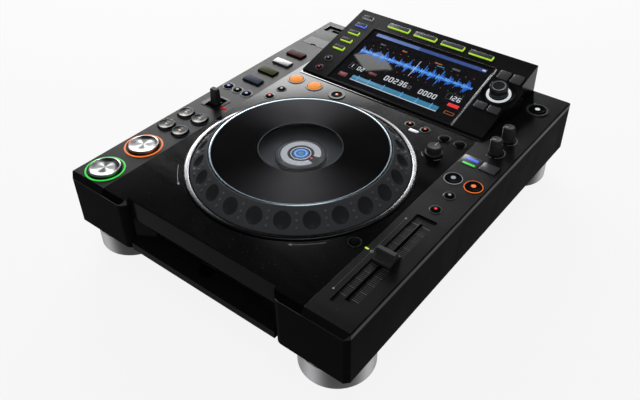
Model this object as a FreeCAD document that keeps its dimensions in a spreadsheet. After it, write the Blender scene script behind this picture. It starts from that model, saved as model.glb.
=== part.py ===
import FreeCAD, Part
import math
import os

import Sketcher

# Tabletop disc player for club use: a flat case on four metal feet, a slot for the disc in the front,
# a turning jog wheel on the deck, a tilted display at the rear and keys, knobs and a slider around them.
# Origin on the floor under the middle of the case, X to the right, Y to the rear, Z up, millimetres.

doc = FreeCAD.newDocument("disc_player")
sheet = doc.addObject("Spreadsheet::Sheet", "Sizes")

# Driving dimensions.
SIZES = {
    # case
    "case_width": 316.0, "case_depth": 388.0, "floor_height": 25.0, "seam_height": 74.4, "deck_height": 80.0,
    "wall": 3.0, "deck_skin": 3.0, "corner_cut": 4.0, "bevel_back": 4.4, "bevel_drop": 5.2, "edge_ease": 1.0,
    "foot_radius": 32.7, "foot_x": 123.5, "foot_front_y": -160.8, "foot_rear_y": 158.6,
    # front recess and disc slot
    "recess_half": 85.0, "recess_round": 8.0, "lip_y": -186.0, "lip_low": 58.5, "lip_skin": 1.8,
    "ramp_y": -192.5, "ramp_low": 33.5, "ramp_high": 42.6, "slot_y": -180.0, "slot_half": 63.0,
    "slot_low": 43.2, "slot_high": 49.2, "fascia_back": -174.0, "notch_radius": 8.5, "notch_floor": 36.5,
    # jog wheel
    "jog_y": -53.5, "trim_outer": 108.0, "trim_inner": 103.0, "trim_height": 1.6, "jog_well": 103.4,
    "jog_outer": 102.0, "jog_foot": 78.0, "jog_edge": 81.0, "jog_top_radius": 84.5, "jog_top": 97.5,
    "jog_skin": 3.0, "jog_web": 76.5, "plate_skin": 3.0, "plate_ledge": 78.0, "window_radius": 39.0,
    "post_radius": 14.0, "post_fit": 0.05, "head_radius": 24.0, "head_low": 84.0, "head_top": 89.0,
    "dimple_count": 24.0, "dimple_radius": 8.2, "dimple_ball": 14.0, "dimple_ring": 93.6, "base_floor": 62.0,
    # display
    "display_y": 79.0, "display_lift": 2.3, "display_tilt": 13.68, "display_left": -107.0,
    "display_right": 116.5, "display_skin": 3.0, "bump_reach": 5.5, "bump_front": 121.0, "bump_rear": 159.0,
    "bump_slope": 7.0, "screen_left": -75.0, "screen_right": 81.0, "screen_near": 2.1, "screen_far": 94.6,
    "screen_deep": 3.0, "screen_margin": 3.0, "screen_module": 6.0,
    "selector_x": 100.6, "selector_t": 62.6, "dish_radius": 18.0, "dish_deep": 1.5,
    "selector_radius": 9.3, "selector_low": 0.7, "selector_high": 10.7, "selector_shaft": 3.0,
    # keys, shared
    "key_gap": 0.4, "key_flange": 1.2, "flange_low": 73.6, "flange_high": 75.6, "key_edge": 0.5,
    # slider
    "slider_x": 135.2, "slider_y": -112.0, "slider_travel": 50.0, "slider_slot": 2.8, "slider_recess_x": 9.8,
    "slider_recess_y": 61.0, "slider_recess_deep": 1.4, "fader_half": 64.0,
    # drive
    "disc_y": -110.0, "drive_half": 70.0, "drive_front": -172.0, "drive_rear": -40.0, "drive_low": 30.0,
    "drive_high": 59.0, "drive_skin": 2.0, "table_radius": 14.5, "table_low": 40.0, "table_high": 42.0,
    "hub_radius": 7.3, "hub_high": 43.4, "spindle_radius": 1.5,
    # boards and rear
    "board_low": 69.6, "board_high": 71.2, "board_half": 152.0, "jack_plane": 184.0, "jack_low": 33.0,
    "jack_high": 66.0, "jack_half": 140.0, "screw_radius": 1.9, "screw_head": 3.6, "boss_radius": 4.5,
}
for row, (alias, number) in enumerate(SIZES.items(), 1):
    sheet.set(f"A{row}", alias)
    sheet.set(f"B{row}", repr(number))
    sheet.setAlias(f"B{row}", alias)
doc.recompute()


class Dim:
    """A length that carries its spreadsheet formula together with its present value."""

    def __init__(self, text, value):
        self.text = text
        self.value = value

    def __add__(self, other):
        other = dim(other)
        return Dim(f"({self.text} + {other.text})", self.value + other.value)

    def __sub__(self, other):
        other = dim(other)
        return Dim(f"({self.text} - {other.text})", self.value - other.value)

    def __mul__(self, other):
        other = dim(other)
        return Dim(f"({self.text} * {other.text})", self.value * other.value)

    def __truediv__(self, other):
        other = dim(other)
        return Dim(f"({self.text} / {other.text})", self.value / other.value)

    def __radd__(self, other):
        return dim(other) + self

    def __rsub__(self, other):
        return dim(other) - self

    def __rmul__(self, other):
        return dim(other) * self

    def __neg__(self):
        return dim(0) - self


def dim(number):
    """Turn a plain number into a Dim, and leave a Dim as it is."""
    if isinstance(number, Dim):
        return number
    return Dim(f"({float(number)!r})", float(number))


def cell(alias):
    """The driving dimension held under this alias."""
    return Dim(f"Sizes.{alias}", SIZES[alias])


def bind(feature, **dims):
    """Bind properties of a feature to their formulas."""
    for name, length in dims.items():
        feature.setExpression(name, dim(length).text)


def place(feature, x=0, y=0, z=0):
    """Bind the position of a feature."""
    for axis, length in (("x", x), ("y", y), ("z", z)):
        feature.setExpression(f"Placement.Base.{axis}", dim(length).text)
    return feature


TILT_COS = Dim("cos(Sizes.display_tilt * 1deg)", math.cos(math.radians(SIZES["display_tilt"])))
TILT_SIN = Dim("sin(Sizes.display_tilt * 1deg)", math.sin(math.radians(SIZES["display_tilt"])))
TILT = FreeCAD.Rotation(FreeCAD.Vector(1, 0, 0), SIZES["display_tilt"])


def place_tilted(feature, x, t, n):
    """Put a feature on the display: x across, t up the slope from its front edge, n out of its face."""
    t = dim(t)
    n = dim(n)
    feature.Placement = FreeCAD.Placement(FreeCAD.Vector(), TILT)
    feature.setExpression("Placement.Rotation.Angle", "Sizes.display_tilt * 1deg")
    deck = cell("deck_height") + cell("display_lift")
    return place(feature, x, cell("display_y") + t * TILT_COS - n * TILT_SIN,
                 deck + t * TILT_SIN + n * TILT_COS)


def add(kind, name):
    """Add an object whose label is its name."""
    made = doc.addObject(kind, name)
    made.Label = name
    return made


def box(name, x0, y0, z0, x1, y1, z1):
    """A block between two corners."""
    made = add("Part::Box", name)
    bind(made, Length=x1 - dim(x0), Width=y1 - dim(y0), Height=z1 - dim(z0))
    return place(made, x0, y0, z0)


def tilted_box(name, x0, t0, n0, x1, t1, n1):
    """A block between two corners in the frame of the display."""
    made = add("Part::Box", name)
    bind(made, Length=x1 - dim(x0), Width=t1 - dim(t0), Height=n1 - dim(n0))
    return place_tilted(made, x0, t0, n0)


def cylinder(name, x, y, z0, z1, radius):
    """An upright cylinder."""
    made = add("Part::Cylinder", name)
    bind(made, Radius=radius, Height=z1 - dim(z0))
    return place(made, x, y, z0)


def tilted_cylinder(name, x, t, n0, n1, radius):
    """A cylinder that stands square to the face of the display."""
    made = add("Part::Cylinder", name)
    bind(made, Radius=radius, Height=n1 - dim(n0))
    return place_tilted(made, x, t, n0)


def fuse(name, parts):
    """Join features that touch or overlap."""
    made = add("Part::MultiFuse", name)
    made.Shapes = parts
    made.Refine = True
    return made


def group(name, parts):
    """Keep several solids together without joining them."""
    made = add("Part::Compound", name)
    made.Links = parts
    return made


def cut(name, base, tools):
    """Take tools away from a base."""
    made = add("Part::Cut", name)
    made.Base = base
    made.Tool = tools[0] if len(tools) == 1 else group(f"{name}_tools", tools)
    return made


def origin_plane(body, role):
    """One of the base planes of a body, such as XY_Plane."""
    for feature in body.Origin.OriginFeatures:
        if feature.Role == role:
            return feature
    raise ValueError(role)


def sketch_on(body, name, role, offset=0):
    """An empty sketch on a base plane of its body, lifted by an offset."""
    sketch = body.newObject("Sketcher::SketchObject", name)
    sketch.AttachmentSupport = [(origin_plane(body, role), "")]
    sketch.MapMode = "FlatFace"
    sketch.setExpression("AttachmentOffset.Base.z", dim(offset).text)
    return sketch


def draw_outline(sketch, corners):
    """Draw a closed outline, with both coordinates of every corner bound to its formula."""
    points = [FreeCAD.Vector(dim(u).value, dim(v).value, 0) for u, v in corners]
    count = len(points)
    first = sketch.GeometryCount
    for i in range(count):
        sketch.addGeometry(Part.LineSegment(points[i], points[(i + 1) % count]), False)
    for i in range(count):
        sketch.addConstraint(Sketcher.Constraint("Coincident", first + i, 2, first + (i + 1) % count, 1))
    for i, corner in enumerate(corners):
        for kind, length in zip(("DistanceX", "DistanceY"), corner):
            length = dim(length)
            index = sketch.addConstraint(Sketcher.Constraint(kind, -1, 1, first + i, 1, length.value))
            sketch.setExpression(f"Constraints[{index}]", length.text)


def draw_circle(sketch, u, v, radius):
    """Draw a circle whose centre and radius are bound."""
    u, v, radius = dim(u), dim(v), dim(radius)
    centre = FreeCAD.Vector(u.value, v.value, 0)
    circle = sketch.addGeometry(Part.Circle(centre, FreeCAD.Vector(0, 0, 1), radius.value), False)
    limits = (("DistanceX", (-1, 1, circle, 3), u), ("DistanceY", (-1, 1, circle, 3), v),
              ("Radius", (circle,), radius))
    for kind, where, length in limits:
        index = sketch.addConstraint(Sketcher.Constraint(kind, *where, length.value))
        sketch.setExpression(f"Constraints[{index}]", length.text)


def pad(body, sketch, length, midplane=False):
    """Raise a sketch."""
    made = body.newObject("PartDesign::Pad", f"{body.Name}_pad")
    made.Profile = sketch
    made.Midplane = midplane
    bind(made, Length=length)
    return made


def pocket(body, sketch, depth, upwards=False):
    """Sink a sketch, downwards unless told otherwise, and check that it takes material away."""
    doc.recompute()
    before = body.Shape.Volume
    made = body.newObject("PartDesign::Pocket", f"{body.Name}_pocket")
    made.Profile = sketch
    made.Reversed = upwards
    bind(made, Length=depth)
    doc.recompute()
    if body.Shape.Volume >= before:
        raise RuntimeError(f"{made.Name} cuts nothing")
    return made


def dress(body, kind, name, edge_test, **sizes):
    """Fillet or chamfer the edges of the tip whose middle passes a test."""
    doc.recompute()
    tip = body.Tip
    names = []
    for number, edge in enumerate(tip.Shape.Edges, 1):
        middle = edge.valueAt((edge.FirstParameter + edge.LastParameter) / 2)
        if edge_test(edge, middle):
            names.append(f"Edge{number}")
    if not names:
        raise RuntimeError(f"{name} finds no edge")
    made = body.newObject(f"PartDesign::{kind}", name)
    made.Base = (tip, names)
    bind(made, **sizes)
    return made


def is_upright(edge):
    """True for an edge that runs along Z."""
    return abs(edge.tangentAt(edge.FirstParameter).z) > 0.99


def near(number, target):
    """True when two lengths agree."""
    return abs(number - target) < 0.01


def body_named(name):
    """A new body for one sub-part."""
    return add("PartDesign::Body", name)


half_width = cell("case_width") / 2
half_depth = cell("case_depth") / 2
deck = cell("deck_height")
deck_under = deck - cell("deck_skin")
recess = cell("recess_half")
wall = cell("wall")

# Places of the controls on the deck: name, x, y and size. Round ones have a radius, square ones two sides.
STRIP_X = -135.5
ROUND_KEYS = {
    "play_key": (STRIP_X, -170.7, 14.7, 84.0),
    "cue_key": (STRIP_X, -125.2, 14.7, 84.0),
    "search_back_key": (STRIP_X - 9.7, -87.5, 8.5, 82.2),
    "search_forward_key": (STRIP_X + 9.7, -87.5, 8.5, 82.2),
    "track_back_key": (STRIP_X - 9.7, -61.0, 8.5, 82.2),
    "track_forward_key": (STRIP_X + 9.7, -61.0, 8.5, 82.2),
    "loop_in_key": (-99.9, 59.6, 7.4, 81.6),
    "loop_out_key": (-75.0, 59.6, 7.4, 81.6),
    "reloop_key": (-44.9, 59.9, 5.2, 81.4),
    "delete_key": (87.0, 58.6, 4.6, 81.6),
    "memory_key": (103.8, 58.6, 4.6, 81.6),
    "eject_key": (136.4, 160.3, 8.4, 81.8),
    "sync_key": (125.0, 9.5, 7.6, 81.4),
    "master_key": (145.5, 9.5, 7.6, 81.4),
    "tempo_reset_key": (103.8, -112.0, 4.4, 81.4),
}
SMALL_CAPS = {
    "bank_left_cap": (STRIP_X - 12.9, 4.1, 5.2),
    "bank_middle_cap": (STRIP_X, 4.1, 4.8),
    "bank_right_cap": (STRIP_X + 12.9, 4.1, 5.2),
    "slip_cap": (-99.5, 34.1, 4.4),
    "beat_loop_cap": (-100.0, 15.6, 4.4),
    "call_back_cap": (46.4, 60.2, 3.8),
    "call_forward_cap": (64.0, 60.2, 3.8),
    "tempo_range_cap": (134.8, -13.9, 4.3),
    "tempo_lock_cap": (134.8, -37.3, 4.3),
}
PADS = ("a", "b", "c", "d")
PAD_FIRST_Y = 29.0
PAD_PITCH = 24.4
PAD_SIZE = (22.4, 10.6)
PAD_TOP = 82.0
JOG_MODE_KEY = (144.2, 41.6, 16.0, 12.6)
FLAT_KEY_TOP = 80.9
KNOBS = {"jog_adjust_knob": 93.5, "speed_adjust_knob": 68.0}
KNOB_X = 136.2
KNOB_RADIUS = 6.1
KNOB_TOP = 95.5
KNOB_TAPER = 0.5
BRAKE_KNOB = (90.7, 32.2, 7.2, 88.6)
KNOB_SHAFT = 3.0
LEVER_Y = -28.0
LEVER_AXIS_Z = 74.0
LEVER_DRUM = 7.4
LEVER_TOP = 97.3
DOOR = (-151.8, 132.0, -119.2, 150.4)
DOOR_SKIN = 2.0
USB_WELL = (-150.0, 171.2, -121.0, 185.2)
USB_PORT = (12.6, 5.0)
BOSSES = ((-150.0, -148.0), (-149.0, 16.5), (-149.0, 160.5), (149.0, -177.5), (150.0, -22.0),
          (150.0, 183.0))

# Places on the display, as x and t.
SOURCE_KEY_X = -91.4
SOURCE_KEY_FIRST_T = 48.1
SOURCE_KEY_PITCH = 14.6
SOURCE_KEY_SIZE = (14.2, 6.2)
MENU_KEY_FIRST_X = -48.4
MENU_KEY_PITCH = 35.0
MENU_KEY_T = 106.5
MENU_KEY_SIZE = (28.0, 7.2)
PAGE_KEY_SIDE = 7.4
PAGE_KEYS = {
    "page_back_key": (-1, 88.3, 13.0),
    "page_tag_key": (1, 88.3, 13.0),
    "page_filter_key": (-1, 38.6, 9.6),
    "page_link_key": (1, 38.6, 9.6),
}
PAGE_KEY_WIDTH = 12.4
DISPLAY_CAPS = {"time_mode_cap": (-91.4, 27.6, 3.2), "quantize_cap": (-91.6, 10.6, 3.0)}
DISPLAY_KEY_TOP = 1.2

# Keys and knobs.

def round_key(name, x, y, radius, top):
    """A round cap with a flange that keeps it under the deck."""
    body = body_named(name)
    profile = sketch_on(body, f"{name}_profile", "XZ_Plane")
    radius = dim(radius)
    top = dim(top)
    flange = radius + cell("key_flange")
    edge = cell("key_edge")
    low = cell("flange_low")
    high = cell("flange_high")
    outline = [(0, low), (flange, low), (flange, high), (radius, high), (radius, top - edge),
               (radius - edge, top), (0, top)]
    draw_outline(profile, outline)
    turned = body.newObject("PartDesign::Revolution", f"{name}_turned")
    turned.Profile = profile
    turned.ReferenceAxis = (profile, ["V_Axis"])
    turned.Angle = 360
    return place(body, x, y, 0)


def flat_key(name, x, y, size, top):
    """A rectangular cap with a flange under the deck."""
    half_x = dim(size[0]) / 2
    half_y = dim(size[1]) / 2
    flange = cell("key_flange")
    cap = box(f"{name}_cap", x - half_x, y - half_y, cell("flange_low"), x + half_x, y + half_y, top)
    rim = box(f"{name}_rim", x - half_x - flange, y - half_y - flange, cell("flange_low"),
              x + half_x + flange, y + half_y + flange, cell("flange_high"))
    return fuse(name, [cap, rim])


def display_key(name, x, t, size, side_flange=True):
    """A rectangular cap on the display with a flange under its skin, all round or only before and behind."""
    half_x = dim(size[0]) / 2
    half_t = dim(size[1]) / 2
    flange = cell("key_flange")
    flange_x = flange if side_flange else dim(-1)
    low = -(cell("display_skin") + 2.4)
    cap = tilted_box(f"{name}_cap", x - half_x, t - half_t, low, x + half_x, t + half_t, DISPLAY_KEY_TOP)
    rim = tilted_box(f"{name}_rim", x - half_x - flange_x, t - half_t - flange, low,
                     x + half_x + flange_x, t + half_t + flange, low + 1.8)
    return fuse(name, [cap, rim])


def turned_body(name, outline, x, y):
    """A body turned about an upright axis."""
    body = body_named(name)
    profile = sketch_on(body, f"{name}_profile", "XZ_Plane")
    draw_outline(profile, outline)
    turned = body.newObject("PartDesign::Revolution", f"{name}_turned")
    turned.Profile = profile
    turned.ReferenceAxis = (profile, ["V_Axis"])
    turned.Angle = 360
    place(body, x, y, 0)
    return body


def knob(name, x, y, radius, top, skirt):
    """A knob on a plain shaft that passes through the deck."""
    low = deck + 0.5
    outline = [(0, deck_under - 4), (KNOB_SHAFT, deck_under - 4), (KNOB_SHAFT, low), (radius + skirt, low),
               (radius + skirt, low + 1.4), (radius, low + 1.6), (radius - KNOB_TAPER, top - 0.6),
               (radius - KNOB_TAPER - 0.6, top), (0, top)]
    return turned_body(name, outline, x, y)


def make_keys():
    """Every key and knob that moves on the deck and the display."""
    made = [round_key(name, *spec) for name, spec in ROUND_KEYS.items()]
    for number, letter in enumerate(PADS):
        made.append(flat_key(f"hot_cue_pad_{letter}", dim(STRIP_X), dim(PAD_FIRST_Y + number * PAD_PITCH),
                             PAD_SIZE, PAD_TOP))
    made.append(flat_key("jog_mode_key", dim(JOG_MODE_KEY[0]), dim(JOG_MODE_KEY[1]), JOG_MODE_KEY[2:],
                         FLAT_KEY_TOP))
    for name, y in KNOBS.items():
        made.append(knob(name, KNOB_X, y, KNOB_RADIUS, KNOB_TOP, 0.3))
    made.append(knob("brake_knob", BRAKE_KNOB[0], BRAKE_KNOB[1], BRAKE_KNOB[2], BRAKE_KNOB[3], 1.3))
    for number in range(5):
        t = SOURCE_KEY_FIRST_T + number * SOURCE_KEY_PITCH
        made.append(display_key(f"source_key_{number + 1}", dim(SOURCE_KEY_X), dim(t), SOURCE_KEY_SIZE))
    for number in range(4):
        x = MENU_KEY_FIRST_X + number * MENU_KEY_PITCH
        made.append(display_key(f"menu_key_{number + 1}", dim(x), dim(MENU_KEY_T), MENU_KEY_SIZE))
    for name, (side, t, length) in PAGE_KEYS.items():
        made.append(display_key(name, cell("selector_x") + side * PAGE_KEY_SIDE, dim(t),
                                (PAGE_KEY_WIDTH, length), False))
    return made


def make_small_caps():
    """The smallest caps, kept together as separate solids."""
    caps = [cylinder(name, x, y, deck_under - 2, deck + 1.3, radius)
            for name, (x, y, radius) in SMALL_CAPS.items()]
    caps += [tilted_cylinder(name, x, t, -4.5, 1.0, radius)
             for name, (x, t, radius) in DISPLAY_CAPS.items()]
    return group("small_key_caps", caps)


def make_selector():
    """The rotary selector: a shaft that is pushed in, and the knob that turns on it."""
    x = cell("selector_x")
    t = cell("selector_t")
    radius = cell("selector_shaft")
    high = cell("selector_high") - 2
    stem = tilted_cylinder("selector_stem", x, t, -12, high, radius)
    collar = tilted_cylinder("selector_collar", x, t, -8, -5.2, radius + 3)
    shaft = fuse("selector_shaft", [stem, collar])
    low = cell("selector_low")
    cap = tilted_cylinder("selector_cap", x, t, low, cell("selector_high"), cell("selector_radius"))
    waist = tilted_cylinder("selector_waist_outer", x, t, low + 1.2, low + 3.2, cell("selector_radius") + 1)
    waist_keep = tilted_cylinder("selector_waist_inner", x, t, low + 1.2, low + 3.2,
                                 cell("selector_radius") - 0.8)
    waist_ring = cut("selector_waist", waist, [waist_keep])
    bore = tilted_cylinder("selector_bore", x, t, low - 1, high + 0.05, radius + cell("post_fit"))
    return [shaft, cut("selector_knob", cap, [waist_ring, bore])]


def make_lever():
    """The direction lever: a blade on a drum that rocks about a cross axis."""
    body = body_named("direction_lever")
    profile = sketch_on(body, "lever_profile", "YZ_Plane")
    axis = dim(LEVER_AXIS_Z)
    draw_outline(profile, [(-4.4, axis), (4.4, axis), (3.1, LEVER_TOP - 0.8), (2.3, LEVER_TOP),
                           (-2.3, LEVER_TOP), (-3.1, LEVER_TOP - 0.8)])
    pad(body, profile, 9.4, midplane=True)
    drum = sketch_on(body, "lever_drum", "YZ_Plane")
    draw_circle(drum, 0, axis, LEVER_DRUM)
    pad(body, drum, 12.6, midplane=True)
    dress(body, "Chamfer", "lever_top_edges", lambda edge, at: near(at.z, LEVER_TOP)
          and near(abs(at.x), 4.7), Size=0.8)
    return place(body, STRIP_X, LEVER_Y, 0)


def make_slider():
    """The tempo slider: a saddle cap with a crest line, on a flat stem."""
    body = body_named("tempo_slider")
    profile = sketch_on(body, "slider_profile", "YZ_Plane")
    foot = deck - 0.8
    draw_outline(profile, [(-8.2, foot), (8.2, foot), (8.2, foot + 2.4), (6.6, foot + 2.6),
                           (4.2, foot + 4.4), (2.8, foot + 7.4), (2.2, foot + 10.3), (-2.2, foot + 10.3),
                           (-2.8, foot + 7.4), (-4.2, foot + 4.4), (-6.6, foot + 2.6), (-8.2, foot + 2.4)])
    pad(body, profile, 17.0, midplane=True)
    stem = sketch_on(body, "slider_stem", "YZ_Plane")
    draw_outline(stem, [(-2.6, 64.0), (2.6, 64.0), (2.6, foot + 1), (-2.6, foot + 1)])
    pad(body, stem, 1.6, midplane=True)
    return place(body, cell("slider_x"), cell("slider_y"), 0)


def make_card_door():
    """The hinged door over the card slot, with a finger edge at its front."""
    x0, y0, x1, y1 = (dim(edge) for edge in DOOR)
    gap = cell("key_gap")
    leaf = box("door_leaf", x0 + gap, y0 + gap, deck - DOOR_SKIN, x1 - gap, y1 - gap, deck + 0.2)
    scoop = cylinder("door_scoop", (x0 + x1) / 2, y0 - 3, deck - 0.6, deck + 1, 6.0)
    return cut("card_door", leaf, [scoop])


# Shells.

def make_bottom_case():
    """The tub: floor, side walls, rear wall and the two front blocks beside the recess."""
    body = body_named("bottom_case")
    floor = cell("floor_height")
    seam = cell("seam_height")
    corner = cell("corner_cut")
    outline = sketch_on(body, "case_outline", "XY_Plane", floor)
    draw_outline(outline, [(-half_width, half_depth), (-half_width, corner - half_depth),
                           (corner - half_width, -half_depth), (-recess, -half_depth),
                           (-recess, fascia_tail), (recess, fascia_tail), (recess, -half_depth),
                           (half_width - corner, -half_depth), (half_width, corner - half_depth),
                           (half_width, half_depth)])
    pad(body, outline, seam - floor)
    cavity = sketch_on(body, "case_cavity", "XY_Plane", seam)
    side = half_width - wall
    front = wall - half_depth
    draw_outline(cavity, [(-side, half_depth - wall), (-side, front + corner), (corner - side, front),
                          (-recess - wall, front), (-recess - wall, fascia_tail + wall),
                          (recess + wall, fascia_tail + wall), (recess + wall, front),
                          (side - corner, front), (side, front + corner), (side, half_depth - wall)])
    pocket(body, cavity, seam - floor - wall)
    way_in = sketch_on(body, "case_front_gap", "XY_Plane", seam)
    draw_outline(way_in, [(-recess, fascia_tail - 1), (recess, fascia_tail - 1),
                          (recess, fascia_tail + wall + 1), (-recess, fascia_tail + wall + 1)])
    pocket(body, way_in, seam - floor - wall)
    rear = sketch_on(body, "case_rear_window", "XZ_Plane", -half_depth)
    window = cell("jack_half")
    draw_outline(rear, [(-window, cell("jack_low")), (window, cell("jack_low")),
                        (window, cell("jack_high")), (-window, cell("jack_high"))])
    pocket(body, rear, wall + 1, upwards=True)
    holes = sketch_on(body, "case_screw_holes", "XY_Plane", floor + wall)
    for x, y in BOSSES:
        draw_circle(holes, x, y, cell("screw_radius") + 0.3)
    pocket(body, holes, wall)
    sinks = sketch_on(body, "case_screw_sinks", "XY_Plane", floor + 1.6)
    for x, y in BOSSES:
        draw_circle(sinks, x, y, cell("screw_head") + 0.4)
    pocket(body, sinks, 1.6)
    dress(body, "Fillet", "case_recess_corners", lambda edge, at: is_upright(edge)
          and near(abs(at.x), SIZES["recess_half"]) and near(at.y, -SIZES["case_depth"] / 2),
          Radius=cell("recess_round"))
    return body


def deck_openings():
    """Cutting tools for every control that comes through the deck."""
    gap = cell("key_gap")
    low = deck_under - 1
    high = deck + 1
    tools = [cylinder(f"hole_{name}", x, y, low, high, radius + gap)
             for name, (x, y, radius, top) in ROUND_KEYS.items()]
    tools += [cylinder(f"hole_{name}", x, y, low, high, radius + 0.1)
              for name, (x, y, radius) in SMALL_CAPS.items()]
    knob_hole = KNOB_SHAFT + 0.5
    tools += [cylinder(f"hole_{name}", KNOB_X, y, low, high, knob_hole) for name, y in KNOBS.items()]
    tools.append(cylinder("hole_brake", BRAKE_KNOB[0], BRAKE_KNOB[1], low, high, knob_hole))
    half_x = dim(PAD_SIZE[0]) / 2 + gap
    half_y = dim(PAD_SIZE[1]) / 2 + gap
    for number, letter in enumerate(PADS):
        y = dim(PAD_FIRST_Y + number * PAD_PITCH)
        tools.append(box(f"hole_pad_{letter}", STRIP_X - half_x, y - half_y, low, STRIP_X + half_x,
                         y + half_y, high))
    x, y, length, width = JOG_MODE_KEY
    tools.append(box("hole_jog_mode", x - length / 2 - gap, y - width / 2 - gap, low, x + length / 2 + gap,
                     y + width / 2 + gap, high))
    tools.append(box("hole_lever", STRIP_X - 6.8, LEVER_Y - 9.4, low, STRIP_X + 6.8, LEVER_Y + 9.4, high))
    x0, y0, x1, y1 = DOOR
    tools.append(box("well_card", x0, y0, deck - DOOR_SKIN - 0.2, x1, y1, high))
    tools.append(box("slot_card", x0 + 4, y0 + 8, low, x1 - 4, y0 + 10.6, high))
    x0, y0, x1, y1 = USB_WELL
    tools.append(box("well_usb", x0, y0, deck - 2, x1, y1, high))
    middle_x = (x0 + x1) / 2
    middle_y = (y0 + y1) / 2
    tools.append(box("port_usb", middle_x - USB_PORT[0] / 2, middle_y - USB_PORT[1] / 2, low,
                     middle_x + USB_PORT[0] / 2, middle_y + USB_PORT[1] / 2, high))
    sx = cell("slider_x")
    sy = cell("slider_y")
    tools.append(box("well_slider", sx - cell("slider_recess_x"), sy - cell("slider_recess_y"),
                     deck - cell("slider_recess_deep"), sx + cell("slider_recess_x"),
                     sy + cell("slider_recess_y"), high))
    reach = cell("slider_travel") + 3
    tools.append(box("slot_slider", sx - cell("slider_slot") / 2, sy - reach, low,
                     sx + cell("slider_slot") / 2, sy + reach, high))
    tools.append(cylinder("hole_jog", 0, cell("jog_y"), low - 1, high, cell("jog_well")))
    tools.append(box("hole_display", cell("display_left") + 5, cell("display_y") + 5, low,
                     cell("display_right") - 5, half_depth - 6, high))
    return tools


def front_bevel():
    """The wedge that takes the front edge off the deck, over its whole width."""
    body = body_named("front_bevel")
    back = cell("bevel_back")
    drop = cell("bevel_drop")
    profile = sketch_on(body, "bevel_profile", "YZ_Plane")
    draw_outline(profile, [(-half_depth - back, deck - drop * 2), (back * 2 - half_depth, deck + drop),
                           (-half_depth - back, deck + drop)])
    pad(body, profile, half_width * 2 + 2, midplane=True)
    return body


def make_top_panel():
    """The deck: a shallow lid with bevelled front edges, screw bosses and openings for the controls."""
    body = body_named("deck_blank")
    seam = cell("seam_height")
    corner = cell("corner_cut")
    lip = cell("lip_y") + cell("lip_skin")
    outline = sketch_on(body, "deck_outline", "XY_Plane", seam)
    draw_outline(outline, [(-half_width, half_depth), (-half_width, corner - half_depth),
                           (corner - half_width, -half_depth), (-recess, -half_depth), (-recess, lip),
                           (recess, lip), (recess, -half_depth), (half_width - corner, -half_depth),
                           (half_width, corner - half_depth), (half_width, half_depth)])
    pad(body, outline, deck - seam)
    dress(body, "Fillet", "deck_recess_corners", lambda edge, at: is_upright(edge)
          and near(abs(at.x), SIZES["recess_half"]) and near(at.y, -SIZES["case_depth"] / 2),
          Radius=cell("recess_round"))
    dress(body, "Chamfer", "deck_side_ease", lambda edge, at: near(at.z, SIZES["deck_height"])
          and near(abs(at.x), SIZES["case_width"] / 2), Size=cell("edge_ease"))
    cavity = sketch_on(body, "deck_cavity", "XY_Plane", seam)
    side = half_width - wall
    front = wall - half_depth
    draw_outline(cavity, [(-side, half_depth - wall), (-side, front + corner), (corner - side, front),
                          (-recess - wall, front), (-recess - wall, lip + wall), (-recess, lip + wall),
                          (-recess, lip - 1), (recess, lip - 1), (recess, lip + wall),
                          (recess + wall, lip + wall), (recess + wall, front), (side - corner, front),
                          (side, front + corner), (side, half_depth - wall)])
    pocket(body, cavity, deck_under - seam, upwards=True)
    bosses = [cylinder(f"boss_{number}", x, y, cell("floor_height") + wall, deck_under + 1,
                       cell("boss_radius")) for number, (x, y) in enumerate(BOSSES)]
    pilots = [cylinder(f"pilot_{number}", x, y, cell("floor_height"), 46, cell("screw_radius") + 0.05)
              for number, (x, y) in enumerate(BOSSES)]
    blank = fuse("deck_with_bosses", [body] + bosses)
    return cut("top_panel", blank, deck_openings() + pilots + [front_bevel()])


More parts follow.
